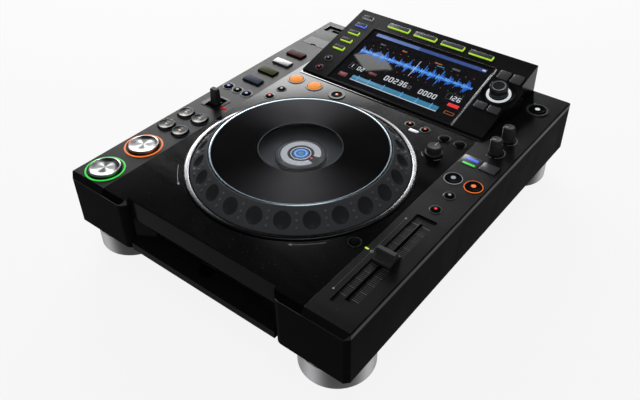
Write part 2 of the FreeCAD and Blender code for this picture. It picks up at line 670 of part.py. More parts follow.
def make_front_fascia():
    """The front moulding: an upright lip over a ramp, with the disc slot and its finger notch between."""
    body = body_named("fascia_blank")
    profile = sketch_on(body, "fascia_profile", "YZ_Plane")
    floor = cell("floor_height")
    back = cell("fascia_back")
    lip = cell("lip_y")
    low = cell("lip_low")
    slot = cell("slot_y")
    draw_outline(profile, [(cell("ramp_y"), floor), (cell("ramp_y"), cell("ramp_low") - 0.8),
                           (cell("ramp_y") + 0.6, cell("ramp_low")), (slot, cell("ramp_high")),
                           (slot, cell("slot_high") + 0.6), (slot - 1.6, cell("slot_high") + 1.4),
                           (slot - 3.8, low - 5), (lip + 0.6, low - 1.6), (lip, low), (lip, deck - 0.5),
                           (lip + 0.5, deck), (lip + cell("lip_skin") - 0.1, deck),
                           (lip + cell("lip_skin") - 0.1, deck_under - 0.1), (back, deck_under - 0.1),
                           (back, floor + wall), (fascia_tail, floor + wall), (fascia_tail, floor)])
    pad(body, profile, (recess - 0.1) * 2, midplane=True)
    funnels = sketch_on(body, "fascia_funnels", "XY_Plane", cell("ramp_low") - 2)
    inner = cell("slot_half")
    outer = recess - 0.1
    for side in (1, -1):
        draw_outline(funnels, [(side * inner, slot + 1), (side * inner, slot), (side * outer, lip - 0.4),
                               (side * outer, slot + 1)])
    pad(body, funnels, low - cell("ramp_low") + 1)
    mouth = sketch_on(body, "fascia_slot", "XZ_Plane", -cell("fascia_back") + 1)
    mouth.AttachmentOffset = FreeCAD.Placement(FreeCAD.Vector(0, 0, 0), FreeCAD.Rotation())
    mouth.setExpression("AttachmentOffset.Base.z", (1 - cell("slot_y")).text)
    draw_outline(mouth, [(-inner, cell("slot_low")), (inner, cell("slot_low")), (inner, cell("slot_high")),
                         (-inner, cell("slot_high"))])
    pocket(body, mouth, cell("fascia_back") - slot + 3)
    notch = sketch_on(body, "fascia_notch", "XY_Plane", cell("slot_low") + 1)
    draw_circle(notch, 0, slot + 1, cell("notch_radius"))
    pocket(body, notch, cell("slot_low") + 1 - cell("notch_floor"))
    body.Label = "front_fascia"
    return body


def make_feet():
    """Four turned feet with a rubber-edged rim, as separate solids."""
    feet = []
    spots = [(side * cell("foot_x"), y) for y in (cell("foot_front_y"), cell("foot_rear_y"))
             for side in (-1, 1)]
    for number, (x, y) in enumerate(spots):
        radius = cell("foot_radius")
        high = cell("floor_height")
        outline = [(0, 0), (radius - 3, 0), (radius - 2.4, 1.2), (radius - 0.6, 1.2), (radius, 1.8),
                   (radius, high), (0, high)]
        feet.append(turned_body(f"foot_{number}", outline, x, y))
    return group("feet", feet)


def make_screws():
    """The case screws: a flat head sunk in the floor and a shank up in its boss."""
    screws = []
    floor = cell("floor_height")
    for number, (x, y) in enumerate(BOSSES):
        head = cell("screw_head")
        shank = cell("screw_radius")
        outline = [(0, floor + 0.1), (head, floor + 0.1), (head, floor + 1.6), (shank, floor + 1.6),
                   (shank, 44), (0, 45)]
        screws.append(turned_body(f"screw_{number}", outline, x, y))
    return group("case_screws", screws)


# Jog wheel.

def make_jog():
    """The wheel with its sloping dimpled rim, the plate on top, the trim ring and the fixed base and post."""
    wheel = body_named("jog_wheel")
    profile = sketch_on(wheel, "jog_profile", "XZ_Plane")
    bore = cell("post_radius") + cell("post_fit")
    skin = cell("jog_skin")
    outer = cell("jog_outer")
    top = cell("jog_top")
    top_radius = cell("jog_top_radius")
    seat = top - cell("plate_skin")
    web = cell("jog_web")
    ledge = cell("plate_ledge")
    draw_outline(profile, [(bore, web - 9), (bore + 6, web - 9), (bore + 6, web), (ledge, web),
                           (outer - 8, cell("jog_foot")), (outer, cell("jog_foot")),
                           (outer, cell("jog_edge")), (top_radius + 0.6, top), (top_radius, top),
                           (top_radius, seat), (ledge, seat), (ledge, web + skin), (bore, web + skin)])
    turned = wheel.newObject("PartDesign::Revolution", "jog_turned")
    turned.Profile = profile
    turned.ReferenceAxis = (profile, ["V_Axis"])
    turned.Angle = 360
    slope = math.hypot(SIZES["jog_top"] - SIZES["jog_edge"],
                       SIZES["jog_outer"] - SIZES["jog_top_radius"] - 0.6)
    normal_x = (SIZES["jog_top"] - SIZES["jog_edge"]) / slope
    normal_z = (SIZES["jog_outer"] - SIZES["jog_top_radius"] - 0.6) / slope
    ring = SIZES["dimple_ring"]
    rise = SIZES["jog_top"] - (ring - SIZES["jog_top_radius"] - 0.6) * normal_x / normal_z
    lift = math.sqrt(SIZES["dimple_ball"] ** 2 - SIZES["dimple_radius"] ** 2)
    scoop = sketch_on(wheel, "jog_scoop", "XZ_Plane")
    centre = FreeCAD.Vector(ring + lift * normal_x, rise + lift * normal_z, 0)
    ball = SIZES["dimple_ball"]
    arc = Part.Arc(centre + FreeCAD.Vector(0, ball, 0), centre - FreeCAD.Vector(ball, 0, 0),
                   centre - FreeCAD.Vector(0, ball, 0))
    scoop.addGeometry(arc, False)
    scoop.addGeometry(Part.LineSegment(centre - FreeCAD.Vector(0, ball, 0),
                                       centre + FreeCAD.Vector(0, ball, 0)), False)
    scoop.addConstraint(Sketcher.Constraint("Coincident", 0, 2, 1, 1))
    scoop.addConstraint(Sketcher.Constraint("Coincident", 1, 2, 0, 1))
    doc.recompute()
    groove = wheel.newObject("PartDesign::Groove", "jog_dimple")
    groove.Profile = scoop
    groove.ReferenceAxis = (scoop, ["Edge2"])
    groove.Angle = 360
    doc.recompute()
    pattern = wheel.newObject("PartDesign::PolarPattern", "jog_dimples")
    pattern.Originals = [groove]
    pattern.Axis = (profile, ["V_Axis"])
    pattern.Angle = 360
    pattern.Occurrences = int(SIZES["dimple_count"])
    wheel.Tip = pattern
    place(wheel, 0, cell("jog_y"), 0)
    plate_edge = top_radius - 0.1
    plate = turned_body("jog_plate",
                        [(0, seat), (plate_edge, seat), (plate_edge, top), (cell("window_radius"), top),
                         (cell("window_radius"), top - 0.3), (0, top - 0.3)], 0, cell("jog_y"))
    trim_in = cell("trim_inner")
    trim_out = cell("trim_outer")
    trim_top = deck + cell("trim_height")
    trim = turned_body("jog_trim_ring", [(trim_in, deck), (trim_out, deck), (trim_out, deck + 0.5),
                                         (trim_out - 1, trim_top), (trim_in + 0.4, trim_top),
                                         (trim_in, trim_top - 0.4)], 0, cell("jog_y"))
    low = cell("base_floor")
    post = cell("post_radius")
    head = cell("head_radius")
    rim = cell("jog_well") + 3
    base = turned_body("jog_base", [(0, low), (rim, low), (rim, deck_under), (rim - 2.4, deck_under),
                                    (rim - 2.4, low + 2), (post + 8, low + 2), (post + 8, low + 4),
                                    (post, low + 4), (post, cell("head_low")), (head, cell("head_low")),
                                    (head, cell("head_top")), (0, cell("head_top"))], 0, cell("jog_y"))
    return [wheel, plate, trim, base]


# Display.

def make_display_housing():
    """The tilted console: a wedge shell with a sunk screen bed, key openings and a dish for the selector."""
    body = body_named("console_blank")
    side_view = sketch_on(body, "console_side", "YZ_Plane")
    rise = cell("display_lift")
    near_y = cell("display_y")
    slope = TILT_SIN / TILT_COS
    far_z = deck + rise + (half_depth - near_y) * slope
    draw_outline(side_view, [(near_y, deck), (near_y, deck + rise), (half_depth, far_z),
                             (half_depth, deck)])
    width = cell("display_right") - cell("display_left")
    pad(body, side_view, width, midplane=True)
    place(body, (cell("display_right") + cell("display_left")) / 2, 0, 0)
    bump = body_named("console_bump")
    plan = sketch_on(bump, "console_bump_plan", "XY_Plane", deck)
    right = cell("display_right")
    reach = right + cell("bump_reach")
    draw_outline(plan, [(right - 1, cell("bump_front")), (right, cell("bump_front")),
                        (reach, cell("bump_front") + cell("bump_slope")),
                        (reach, cell("bump_rear") - cell("bump_slope")), (right, cell("bump_rear")),
                        (right - 1, cell("bump_rear"))])
    pad(bump, plan, far_z - deck)
    over = tilted_box("console_over", right - 4, 0, 0, reach + 4, 130, 40)
    bump_cut = cut("console_bump_cut", bump, [over])
    solid = fuse("console_solid", [body, bump_cut])
    skin = cell("display_skin")
    inner = body_named("console_inside")
    inner_view = sketch_on(inner, "console_inside_view", "YZ_Plane")
    front = near_y + skin + 2
    start_z = deck + rise + (front - near_y) * slope - skin / TILT_COS
    end_z = far_z - skin / TILT_COS - skin * slope
    draw_outline(inner_view, [(front, deck - 1), (front, start_z), (half_depth - skin, end_z),
                              (half_depth - skin, deck - 1)])
    pad(inner, inner_view, width - skin * 2, midplane=True)
    place(inner, (cell("display_right") + cell("display_left")) / 2, 0, 0)
    left = cell("screen_left")
    right_edge = cell("screen_right")
    margin = cell("screen_margin")
    tools = [inner]
    tools.append(tilted_box("screen_bed", left, cell("screen_near"), -cell("screen_deep") + 0.2,
                            right_edge, cell("screen_far"), 5))
    tools.append(tilted_box("screen_hole", left + margin, cell("screen_near") + margin + 1.6, -20,
                            right_edge - margin, cell("screen_far") - margin, 5))
    gap = cell("key_gap")
    for number in range(5):
        t = SOURCE_KEY_FIRST_T + number * SOURCE_KEY_PITCH
        tools.append(display_hole(f"source_hole_{number}", dim(SOURCE_KEY_X), dim(t), SOURCE_KEY_SIZE))
    for number in range(4):
        x = MENU_KEY_FIRST_X + number * MENU_KEY_PITCH
        tools.append(display_hole(f"menu_hole_{number}", dim(x), dim(MENU_KEY_T), MENU_KEY_SIZE))
    for name, (side, t, length) in PAGE_KEYS.items():
        tools.append(display_hole(f"hole_{name}", cell("selector_x") + side * PAGE_KEY_SIDE, dim(t),
                                  (PAGE_KEY_WIDTH, length)))
    for name, (x, t, radius) in DISPLAY_CAPS.items():
        tools.append(tilted_cylinder(f"hole_{name}", x, t, -12, 5, radius + 0.1))
    x = cell("selector_x")
    t = cell("selector_t")
    dish = add("Part::Cone", "selector_dish")
    bind(dish, Radius1=cell("dish_radius") - 4, Radius2=cell("dish_radius"), Height=cell("dish_deep"))
    place_tilted(dish, x, t, -cell("dish_deep"))
    tools.append(dish)
    tools.append(tilted_cylinder("selector_hole", x, t, -12, 5, cell("selector_shaft") + gap))
    return cut("display_housing", solid, tools)


def display_hole(name, x, t, size):
    """The opening in the console for a rectangular key."""
    half_x = dim(size[0]) / 2 + cell("key_gap")
    half_t = dim(size[1]) / 2 + cell("key_gap")
    return tilted_box(name, x - half_x, t - half_t, -12, x + half_x, t + half_t, 5)


def make_display_screen():
    """The screen: glass and panel in one flat module that fills the bed."""
    margin = cell("screen_margin")
    gap = 0.2
    bed = -cell("screen_deep") + 0.2
    module = tilted_box("screen_module_block", cell("screen_left") + margin + gap,
                        cell("screen_near") + margin + 1.6 + gap, bed - cell("screen_module"),
                        cell("screen_right") - margin - gap, cell("screen_far") - margin - gap, bed + 0.6)
    glass = tilted_box("screen_glass", cell("screen_left") + gap, cell("screen_near") + gap, bed,
                       cell("screen_right") - gap, cell("screen_far") - gap, bed + 1)
    return fuse("display_screen", [module, glass])


# Inside.

def make_boards():
    """The key boards under the deck and the display, the main board and the power supply."""
    low = cell("board_low")
    high = cell("board_high")
    half = cell("board_half")
    sheet_board = box("key_board_blank", -half, -183, low, half, 76, high)
    well = cylinder("key_board_well", 0, cell("jog_y"), low - 1, high + 1, cell("jog_well") + 5)
    front = box("key_board_front", -100, -190, low - 1, 100, -120, high + 1)
    posts = [cylinder(f"key_board_post_{number}", x, y, low - 1, high + 1, cell("boss_radius") + 1)
             for number, (x, y) in enumerate(BOSSES)]
    stem = box("key_board_slit", cell("slider_x") - 3, cell("slider_y") - 56, low - 1,
               cell("slider_x") + 3, cell("slider_y") + 56, high + 1)
    lever = box("key_board_lever", STRIP_X - 9, LEVER_Y - 11, low - 1, STRIP_X + 9, LEVER_Y + 11, high + 1)
    deck_board = cut("key_board_cut", sheet_board, [well, front, stem, lever] + posts)
    tail = box("key_board_tail", -half, 76, low, -110, 165, high)
    tail_post = cylinder("key_board_tail_post", BOSSES[2][0], BOSSES[2][1], low - 1, high + 1,
                         cell("boss_radius") + 1)
    usb_middle_x = (USB_WELL[0] + USB_WELL[2]) / 2
    usb_middle_y = (USB_WELL[1] + USB_WELL[3]) / 2
    wing = box("key_board_wing", 112, 76, low, half, 176, high)
    switches = [cylinder(f"switch_{name}", x, y, high, cell("flange_low") - 1.0, 2.0)
                for name, (x, y, radius, top) in ROUND_KEYS.items()]
    fader_x = cell("slider_x")
    fader_y = cell("slider_y")
    fader = box("fader_case", fader_x - 6, fader_y - cell("fader_half"), 59, fader_x + 6,
                fader_y + cell("fader_half"), low)
    fader_slot = box("fader_way", fader_x - 1.4, fader_y - 56, 61, fader_x + 1.4, fader_y + 56, low + 1)
    fader_body = cut("fader_unit", fader, [fader_slot])
    tail_cut = cut("key_board_tail_cut", tail, [tail_post])
    usb = box("usb_shell", usb_middle_x - 8, usb_middle_y - 4, 62, usb_middle_x + 8, usb_middle_y + 4,
              deck_under - 0.1)
    usb_way = box("usb_way", usb_middle_x - USB_PORT[0] / 2, usb_middle_y - USB_PORT[1] / 2, 64,
                  usb_middle_x + USB_PORT[0] / 2, usb_middle_y + USB_PORT[1] / 2, deck)
    usb_socket = cut("usb_socket", usb, [usb_way])
    deck_keys = fuse("key_board_deck", [deck_board, tail_cut, wing, fader_body] + switches)
    display_keys = tilted_box("key_board_display", cell("display_left") + 8, 24, -9.5,
                              cell("screen_left") + 1, 112, -8)
    boards = group("key_boards", [deck_keys, display_keys, usb_socket])
    main = box("main_board_sheet", -20, -10, 34, 142, 176, 35.6)
    chips = [box("main_chip_1", 20, 60, 35.6, 48, 88, 38), box("main_chip_2", 70, 30, 35.6, 92, 52, 37.6),
             box("main_sink", 60, 90, 35.6, 100, 130, 50)]
    main_board = fuse("main_board", [main] + chips)
    supply = box("supply_sheet", -140, 40, 34, -34, 172, 35.6)
    block = box("supply_transformer", -120, 90, 35.6, -84, 126, 60)
    cap_1 = cylinder("supply_cap_1", -60, 100, 35.6, 58, 9)
    cap_2 = cylinder("supply_cap_2", -60, 125, 35.6, 58, 9)
    power = fuse("power_supply", [supply, block, cap_1, cap_2])
    return [boards, main_board, power]


def make_drive():
    """The slot drive: a sheet metal box open at the front, and its turning disc table."""
    half = cell("drive_half")
    front = cell("drive_front")
    rear = cell("drive_rear")
    low = cell("drive_low")
    high = cell("drive_high")
    skin = cell("drive_skin")
    shell = box("drive_shell", -half, front, low, half, rear, high)
    inside = box("drive_inside", skin - half, front - 1, low + skin, half - skin, rear - skin, high - skin)
    hole = cylinder("drive_spindle_hole", 0, cell("disc_y"), low, low + skin, cell("spindle_radius") + 0.05)
    motor = cylinder("drive_motor", 0, cell("disc_y"), low + skin, cell("table_low") - 1, 12)
    motor_bore = cylinder("drive_motor_bore", 0, cell("disc_y"), low, cell("table_low"),
                          cell("spindle_radius") + 0.05)
    shell_cut = cut("drive_shell_cut", shell, [inside, hole])
    motor_cut = cut("drive_motor_cut", motor, [motor_bore])
    housing = fuse("drive_housing", [shell_cut, motor_cut])
    hub = cell("hub_radius")
    table = turned_body("disc_table", [(0, low + skin), (cell("spindle_radius"), low + skin),
                                       (cell("spindle_radius"), cell("table_low")),
                                       (cell("table_radius"), cell("table_low")),
                                       (cell("table_radius"), cell("table_high")),
                                       (hub, cell("table_high")), (hub - 0.8, cell("hub_high")),
                                       (0, cell("hub_high"))], 0, cell("disc_y"))
    return [housing, table]


JACKS_RCA = (52.0, 68.0, 92.0)
JACK_ROW_Z = 48.0


def make_rear():
    """The socket plate set into the rear window, and the power button in it."""
    plane = cell("jack_plane")
    half = cell("jack_half") + 4
    plate = box("jack_plate", -half, plane, cell("jack_low") - 3, half, plane + 2, cell("jack_high") + 3)
    inlet = box("inlet_block", -124, plane - 16, 36, -92, plane + 3, 60)
    lan = box("lan_block", -6, plane - 14, 40, 12, plane + 3, 56)
    usb = box("usb_b_block", 22, plane - 14, 41, 36, plane + 3, 55)
    barrels = []
    bores = []
    for number, x in enumerate(JACKS_RCA):
        barrel = add("Part::Cylinder", f"rca_barrel_{number}")
        bind(barrel, Radius=4.2, Height=9.0)
        barrel.Placement = FreeCAD.Placement(FreeCAD.Vector(),
                                             FreeCAD.Rotation(FreeCAD.Vector(1, 0, 0), -90))
        barrels.append(place(barrel, x, plane + 0.5, JACK_ROW_Z))
        bore = add("Part::Cylinder", f"rca_bore_{number}")
        bind(bore, Radius=1.7, Height=8.0)
        bore.Placement = FreeCAD.Placement(FreeCAD.Vector(), FreeCAD.Rotation(FreeCAD.Vector(1, 0, 0), -90))
        bores.append(place(bore, x, plane + 3, JACK_ROW_Z))
    solid = fuse("jack_solid", [plate, inlet, lan, usb] + barrels)
    inlet_way = box("inlet_way", -120, plane - 12, 40, -96, plane + 4, 56)
    lan_way = box("lan_way", -3, plane - 10, 43, 9, plane + 4, 52)
    usb_way = box("usb_b_way", 25, plane - 10, 44, 33.4, plane + 4, 52)
    button_way = box("button_way", -78.4, plane - 4, 43.6, -61.6, plane + 4, 54.4)
    pins = [box(f"inlet_pin_{number}", x - 1, plane - 13, z - 2, x + 1, plane - 3, z + 2)
            for number, (x, z) in enumerate(((-115, 46.5), (-108, 51), (-101, 46.5)))]
    cut_plate = cut("jack_cut", solid, [inlet_way, lan_way, usb_way, button_way] + bores)
    panel = fuse("rear_socket_plate", [cut_plate] + pins)
    button_cap = box("button_cap", -78, plane - 8, 44, -62, plane + 7, 54)
    button_rim = box("button_rim", -79.6, plane - 8, 42.4, -60.4, plane - 4.4, 55.6)
    return [panel, fuse("power_button", [button_cap, button_rim])]


fascia_tail = cell("fascia_back") + 4
sub_parts = [make_bottom_case(), make_top_panel(), make_front_fascia(), make_feet(), make_screws()]
sub_parts += make_jog()
sub_parts += [make_display_housing(), make_display_screen()]
sub_parts += make_keys() + make_selector()
sub_parts += [make_lever(), make_slider(), make_card_door(), make_small_caps()]
sub_parts += make_boards() + make_drive() + make_rear()
doc.recompute()

for thing in doc.Objects:
    if "Invalid" in thing.State or "Error" in thing.State:
        raise RuntimeError(f"{thing.Label} failed: {thing.State}")

os.makedirs("parts", exist_ok=True)
for sub_part in sub_parts:
    shape = sub_part.Shape
    if shape.isNull() or not shape.isValid() or not shape.Solids:
        raise RuntimeError(f"{sub_part.Label} has no valid solid")
    shape.exportStep(f"parts/{sub_part.Label}.step")
print(len(sub_parts), "sub-parts written")
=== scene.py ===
"""Looks of a tabletop disc player: its finishes, wheel, keys, display, markings, studio and camera."""

import logging
import math
from dataclasses import dataclass
from enum import Enum
from typing import Any, Iterable, Optional, Sequence

import bmesh
import bpy
from mathutils import Matrix, Vector


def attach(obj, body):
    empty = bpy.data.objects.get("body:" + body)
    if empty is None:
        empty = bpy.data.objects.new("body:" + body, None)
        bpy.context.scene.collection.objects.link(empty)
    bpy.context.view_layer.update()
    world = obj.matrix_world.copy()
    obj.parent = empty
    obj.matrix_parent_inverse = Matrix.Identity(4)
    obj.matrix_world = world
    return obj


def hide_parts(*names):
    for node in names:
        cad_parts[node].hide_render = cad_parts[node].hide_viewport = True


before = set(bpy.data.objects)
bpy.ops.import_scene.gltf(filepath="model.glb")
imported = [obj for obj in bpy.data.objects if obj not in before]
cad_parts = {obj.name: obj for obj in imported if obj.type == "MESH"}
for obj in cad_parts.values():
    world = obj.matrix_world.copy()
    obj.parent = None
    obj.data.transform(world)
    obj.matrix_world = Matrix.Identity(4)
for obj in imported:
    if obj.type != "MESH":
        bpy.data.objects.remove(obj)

Object = bpy.types.Object
Node = bpy.types.Node
Socket = bpy.types.NodeSocket
Point = tuple[float, float]
Spot = tuple[float, float, float]
Colour = tuple[float, float, float]

LOG = logging.getLogger("disc_player")
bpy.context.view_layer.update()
MM: float = 0.001
DECK_Z: float = 80.0
TILT: float = math.radians(13.68)
CONSOLE_Y: float = 79.0
CONSOLE_Z: float = 82.3
REAR_Y: float = 186.0
SHARP_ANGLE: float = 32.0
KEY_FLANGE: float = 1.2
FLANGE_LOW: float = 73.6
FLANGE_HIGH: float = 75.6
JOG_CENTRE: Point = (0.0, -53.5)
STRIP_X: float = -135.5
DUST: Colour = (0.2, 0.2, 0.2)


@dataclass(frozen=True)
class Place:
    """A flat place to build on, in millimetres: a point, and the directions across, along and out of it."""

    origin: Spot
    across: Spot = (1.0, 0.0, 0.0)
    along: Spot = (0.0, 1.0, 0.0)
    out: Spot = (0.0, 0.0, 1.0)

    def matrix(self) -> Matrix:
        """Return the transform from this place's millimetres to the row's metres."""
        columns = [Vector(axis) * MM for axis in (self.across, self.along, self.out)]
        rows = [[columns[j][i] for j in range(3)] + [self.origin[i] * MM] for i in range(3)]
        return Matrix(rows + [[0.0, 0.0, 0.0, 1.0]])


ROW = Place((0.0, 0.0, 0.0))
DECK = Place((0.0, 0.0, DECK_Z))
CONSOLE = Place((0.0, CONSOLE_Y, CONSOLE_Z), along=(0.0, math.cos(TILT), math.sin(TILT)),
                out=(0.0, -math.sin(TILT), math.cos(TILT)))
REAR = Place((0.0, REAR_Y, 0.0), along=(0.0, 0.0, 1.0), out=(0.0, 1.0, 0.0))


def on_console(across: float, along: float, out: float) -> Matrix:
    """Return the transform that sets metres on the console, with its origin at a point of its face in millimetres."""
    spot = (across, CONSOLE_Y + along * math.cos(TILT) - out * math.sin(TILT),
            CONSOLE_Z + along * math.sin(TILT) + out * math.cos(TILT))
    shift = Place(spot, along=CONSOLE.along, out=CONSOLE.out)
    return shift.matrix() @ Matrix.Scale(1.0 / MM, 4)


# Shader node groups and finishes.


class Graph:
    """Adds and wires the nodes of one tree."""

    def __init__(self, tree: bpy.types.NodeTree) -> None:
        """Hold the tree."""
        self.tree = tree

    def node(self, kind: str, inputs: Optional[dict[Any, Any]] = None, **settings: Any) -> Node:
        """Add a node.

        Args:
            kind: The node's type.
            inputs: Values or output sockets for its inputs, by name or number.
            settings: Attributes of the node itself.

        Returns:
            The new node.
        """
        made = self.tree.nodes.new(kind)
        for name, value in settings.items():
            setattr(made, name, value)
        for name, value in (inputs or {}).items():
            if isinstance(value, Socket):
                self.tree.links.new(value, made.inputs[name])
            else:
                made.inputs[name].default_value = value
        return made

    def feed(self, shader: Node, name: str, value: Socket) -> None:
        """Wire a socket into a shader's input."""
        self.tree.links.new(value, shader.inputs[name])

    def math(self, operation: str, first: Any, second: Any = 0.0, clamp: bool = False) -> Socket:
        """Combine two numbers or sockets, and return the result's socket."""
        kind = "ShaderNodeMath"
        return self.node(kind, {0: first, 1: second}, operation=operation, use_clamp=clamp).outputs[0]

    def vector(self, operation: str, first: Any, second: Any = (0.0, 0.0, 0.0)) -> Node:
        """Combine two vectors or sockets, and return the node."""
        return self.node("ShaderNodeVectorMath", {0: first, 1: second}, operation=operation)

    def scaled(self, value: Any, low: float, high: float) -> Socket:
        """Stretch a value from 0 to 1 over a range, and return the result's socket."""
        return self.node("ShaderNodeMapRange", {"Value": value, "To Min": low, "To Max": high}).outputs[0]

    def blend(self, share: Any, first: Any, second: Any) -> Socket:
        """Mix two colours, and return the result's socket."""
        made = self.node("ShaderNodeMix", data_type="RGBA")
        for number, value in ((0, share), (6, first), (7, second)):
            if isinstance(value, Socket):
                self.tree.links.new(value, made.inputs[number])
            elif number == 0:
                made.inputs[0].default_value = value
            else:
                made.inputs[number].default_value = (*value, 1.0)
        return made.outputs[2]


class Effect(Enum):
    """The surface effects that several finishes share."""

    GRAIN = "fine_grain"
    SMEAR = "hand_smear"
    TURNED = "turned_lines"
    BRUSHED = "brushed_lines"
    SPECKS = "dust_specks"


def new_group(name: str, inputs: Sequence[tuple[str, str, Any]], outputs: Sequence[str]) -> bpy.types.NodeTree:
    """Make an empty shader group with named sockets.

    Args:
        name: The group's name.
        inputs: Name, socket type and default of each input.
        outputs: Names of the number outputs.

    Returns:
        The group, without its inner nodes.
    """
    group = bpy.data.node_groups.new(name, "ShaderNodeTree")
    for label, kind, default in inputs:
        socket = group.interface.new_socket(label, in_out="INPUT", socket_type=kind)
        socket.default_value = default
    for label in outputs:
        group.interface.new_socket(label, in_out="OUTPUT", socket_type="NodeSocketFloat")
    return group


def start_effect(which: Effect, inputs: Sequence[tuple[str, str, Any]],
                 outputs: Sequence[str]) -> tuple[Graph, Node, Socket]:
    """Start a shared effect, and return its graph, its input node and the place on the object."""
    graph = Graph(new_group(which.value, inputs, outputs))
    source = graph.node("NodeGroupInput")
    return graph, source, graph.node("ShaderNodeTexCoord").outputs["Object"]


def build_effects() -> None:
    """Build every shared effect once."""
    number = "NodeSocketFloat"
    graph, source, place = start_effect(Effect.GRAIN, [("Scale", number, 900.0)], ["Height", "Mask"])
    coarse = graph.node("ShaderNodeTexNoise", {"Vector": place, "Scale": source.outputs["Scale"], "Detail": 2.0})
    cells = graph.node("ShaderNodeTexVoronoi", {"Vector": place, "Scale": source.outputs["Scale"]})
    height = graph.math("ADD", coarse.outputs[0], graph.math("MULTIPLY", cells.outputs[0], 0.4))
    graph.node("NodeGroupOutput", {"Height": height, "Mask": coarse.outputs[0]})

    graph, source, place = start_effect(Effect.SMEAR, [("Scale", number, 18.0)], ["Mask"])
    stretch = graph.node("ShaderNodeMapping",
                         {"Vector": place, "Rotation": (0.0, 0.0, 0.6), "Scale": (1.0, 2.2, 1.0)})
    noise = graph.node("ShaderNodeTexNoise", {"Vector": stretch.outputs[0], "Scale": source.outputs["Scale"],
                                              "Detail": 4.0, "Roughness": 0.62, "Distortion": 0.8})
    mask = graph.node("ShaderNodeMapRange", {"Value": noise.outputs[0], "From Min": 0.38, "From Max": 0.68})
    graph.node("NodeGroupOutput", {"Mask": mask.outputs[0]})

    graph, source, place = start_effect(Effect.TURNED,
                                        [("Centre", "NodeSocketVector", (0.0, 0.0, 0.0)),
                                         ("Lines", number, 4000.0), ("Fans", number, 2.0), ("Turn", number, 0.0)],
                                        ["Height", "Mask", "Fan"])
    arm = graph.vector("SUBTRACT", place, source.outputs["Centre"])
    flat = graph.vector("MULTIPLY", arm.outputs[0], (1.0, 1.0, 0.0))
    reach = graph.vector("LENGTH", flat.outputs[0]).outputs["Value"]
    along = graph.math("MULTIPLY", reach, source.outputs["Lines"])
    lines = graph.node("ShaderNodeTexNoise", {"W": along, "Scale": 1.0, "Detail": 3.0}, noise_dimensions="1D")
    broad = graph.node("ShaderNodeTexNoise", {"W": graph.math("MULTIPLY", along, 0.07), "Scale": 1.0},
                       noise_dimensions="1D")
    # The Fan output is a painted highlight mask: wedges about the centre where a finish paints its colour lighter.
    sides = graph.node("ShaderNodeSeparateXYZ", {0: flat.outputs[0]})
    angle = graph.math("ARCTAN2", sides.outputs[1], sides.outputs[0])
    phase = graph.math("ADD", graph.math("MULTIPLY", angle, source.outputs["Fans"]), source.outputs["Turn"])
    swing = graph.math("ADD", graph.math("MULTIPLY", graph.math("COSINE", phase), 0.5), 0.5)
    graph.node("NodeGroupOutput", {"Height": lines.outputs[0], "Mask": broad.outputs[0],
                                   "Fan": graph.math("POWER", swing, 2.5)})

    graph, source, place = start_effect(Effect.BRUSHED,
                                        [("Along", "NodeSocketVector", (1.0, 1.0, 60.0)), ("Scale", number, 60.0)],
                                        ["Height", "Mask"])
    stretched = graph.vector("MULTIPLY", place, source.outputs["Along"]).outputs[0]
    streaks = graph.node("ShaderNodeTexNoise", {"Vector": stretched, "Scale": source.outputs["Scale"],
                                                "Detail": 5.0})
    graph.node("NodeGroupOutput", {"Height": streaks.outputs[0], "Mask": streaks.outputs[0]})

    graph, source, place = start_effect(Effect.SPECKS, [("Amount", number, 0.5)], ["Mask"])
    upward = graph.node("ShaderNodeSeparateXYZ",
                        {0: graph.node("ShaderNodeNewGeometry").outputs["Normal"]}).outputs[2]
    specks = graph.node("ShaderNodeTexNoise", {"Vector": place, "Scale": 520.0, "Detail": 2.0})
    patches = graph.node("ShaderNodeTexNoise", {"Vector": place, "Scale": 14.0, "Detail": 2.0})
    few = graph.node("ShaderNodeMapRange",
                     {"Value": specks.outputs[0], "From Min": 0.66, "From Max": 0.74}).outputs[0]
    some = graph.math("MULTIPLY", few, graph.math("MULTIPLY", patches.outputs[0], source.outputs["Amount"]))
    graph.node("NodeGroupOutput", {"Mask": graph.math("MULTIPLY", some, graph.math("MAXIMUM", upward, 0.0))})


@dataclass(frozen=True)
class Finish:
    """What every finish has: a name, a colour, a roughness and how strongly it mirrors."""

    name: str
    colour: Colour
    roughness: float = 0.4
    mirror: float = 0.25

    def material(self) -> bpy.types.Material:
        """Return this finish's material, made once."""
        found = bpy.data.materials.get(self.name)
        if found is not None:
            return found
        made = bpy.data.materials.new(self.name)
        made.use_nodes = True
        made.diffuse_color = (*self.colour, 1.0)
        graph = Graph(made.node_tree)
        shader = made.node_tree.nodes["Principled BSDF"]
        shader.inputs["Base Color"].default_value = (*self.colour, 1.0)
        shader.inputs["Roughness"].default_value = self.roughness
        shader.inputs["Specular IOR Level"].default_value = self.mirror
        self.wire(graph, shader)
        return made

    def wire(self, graph: Graph, shader: Node) -> None:
        """Add this finish's own nodes."""

    @staticmethod
    def effect(graph: Graph, which: Effect, **values: Any) -> Node:
        """Place a shared effect in a material with its own values."""
        group = graph.node("ShaderNodeGroup", node_tree=bpy.data.node_groups[which.value])
        for name, value in values.items():
            group.inputs[name].default_value = value
        return group

    @staticmethod
    def raise_surface(graph: Graph, shader: Node, height: Any, depth: float, strength: float = 1.0) -> None:
        """Feed a height into the shader's normal, with its depth in metres."""
        bump = graph.node("ShaderNodeBump", {"Height": height, "Distance": depth, "Strength": strength})
        graph.feed(shader, "Normal", bump.outputs[0])


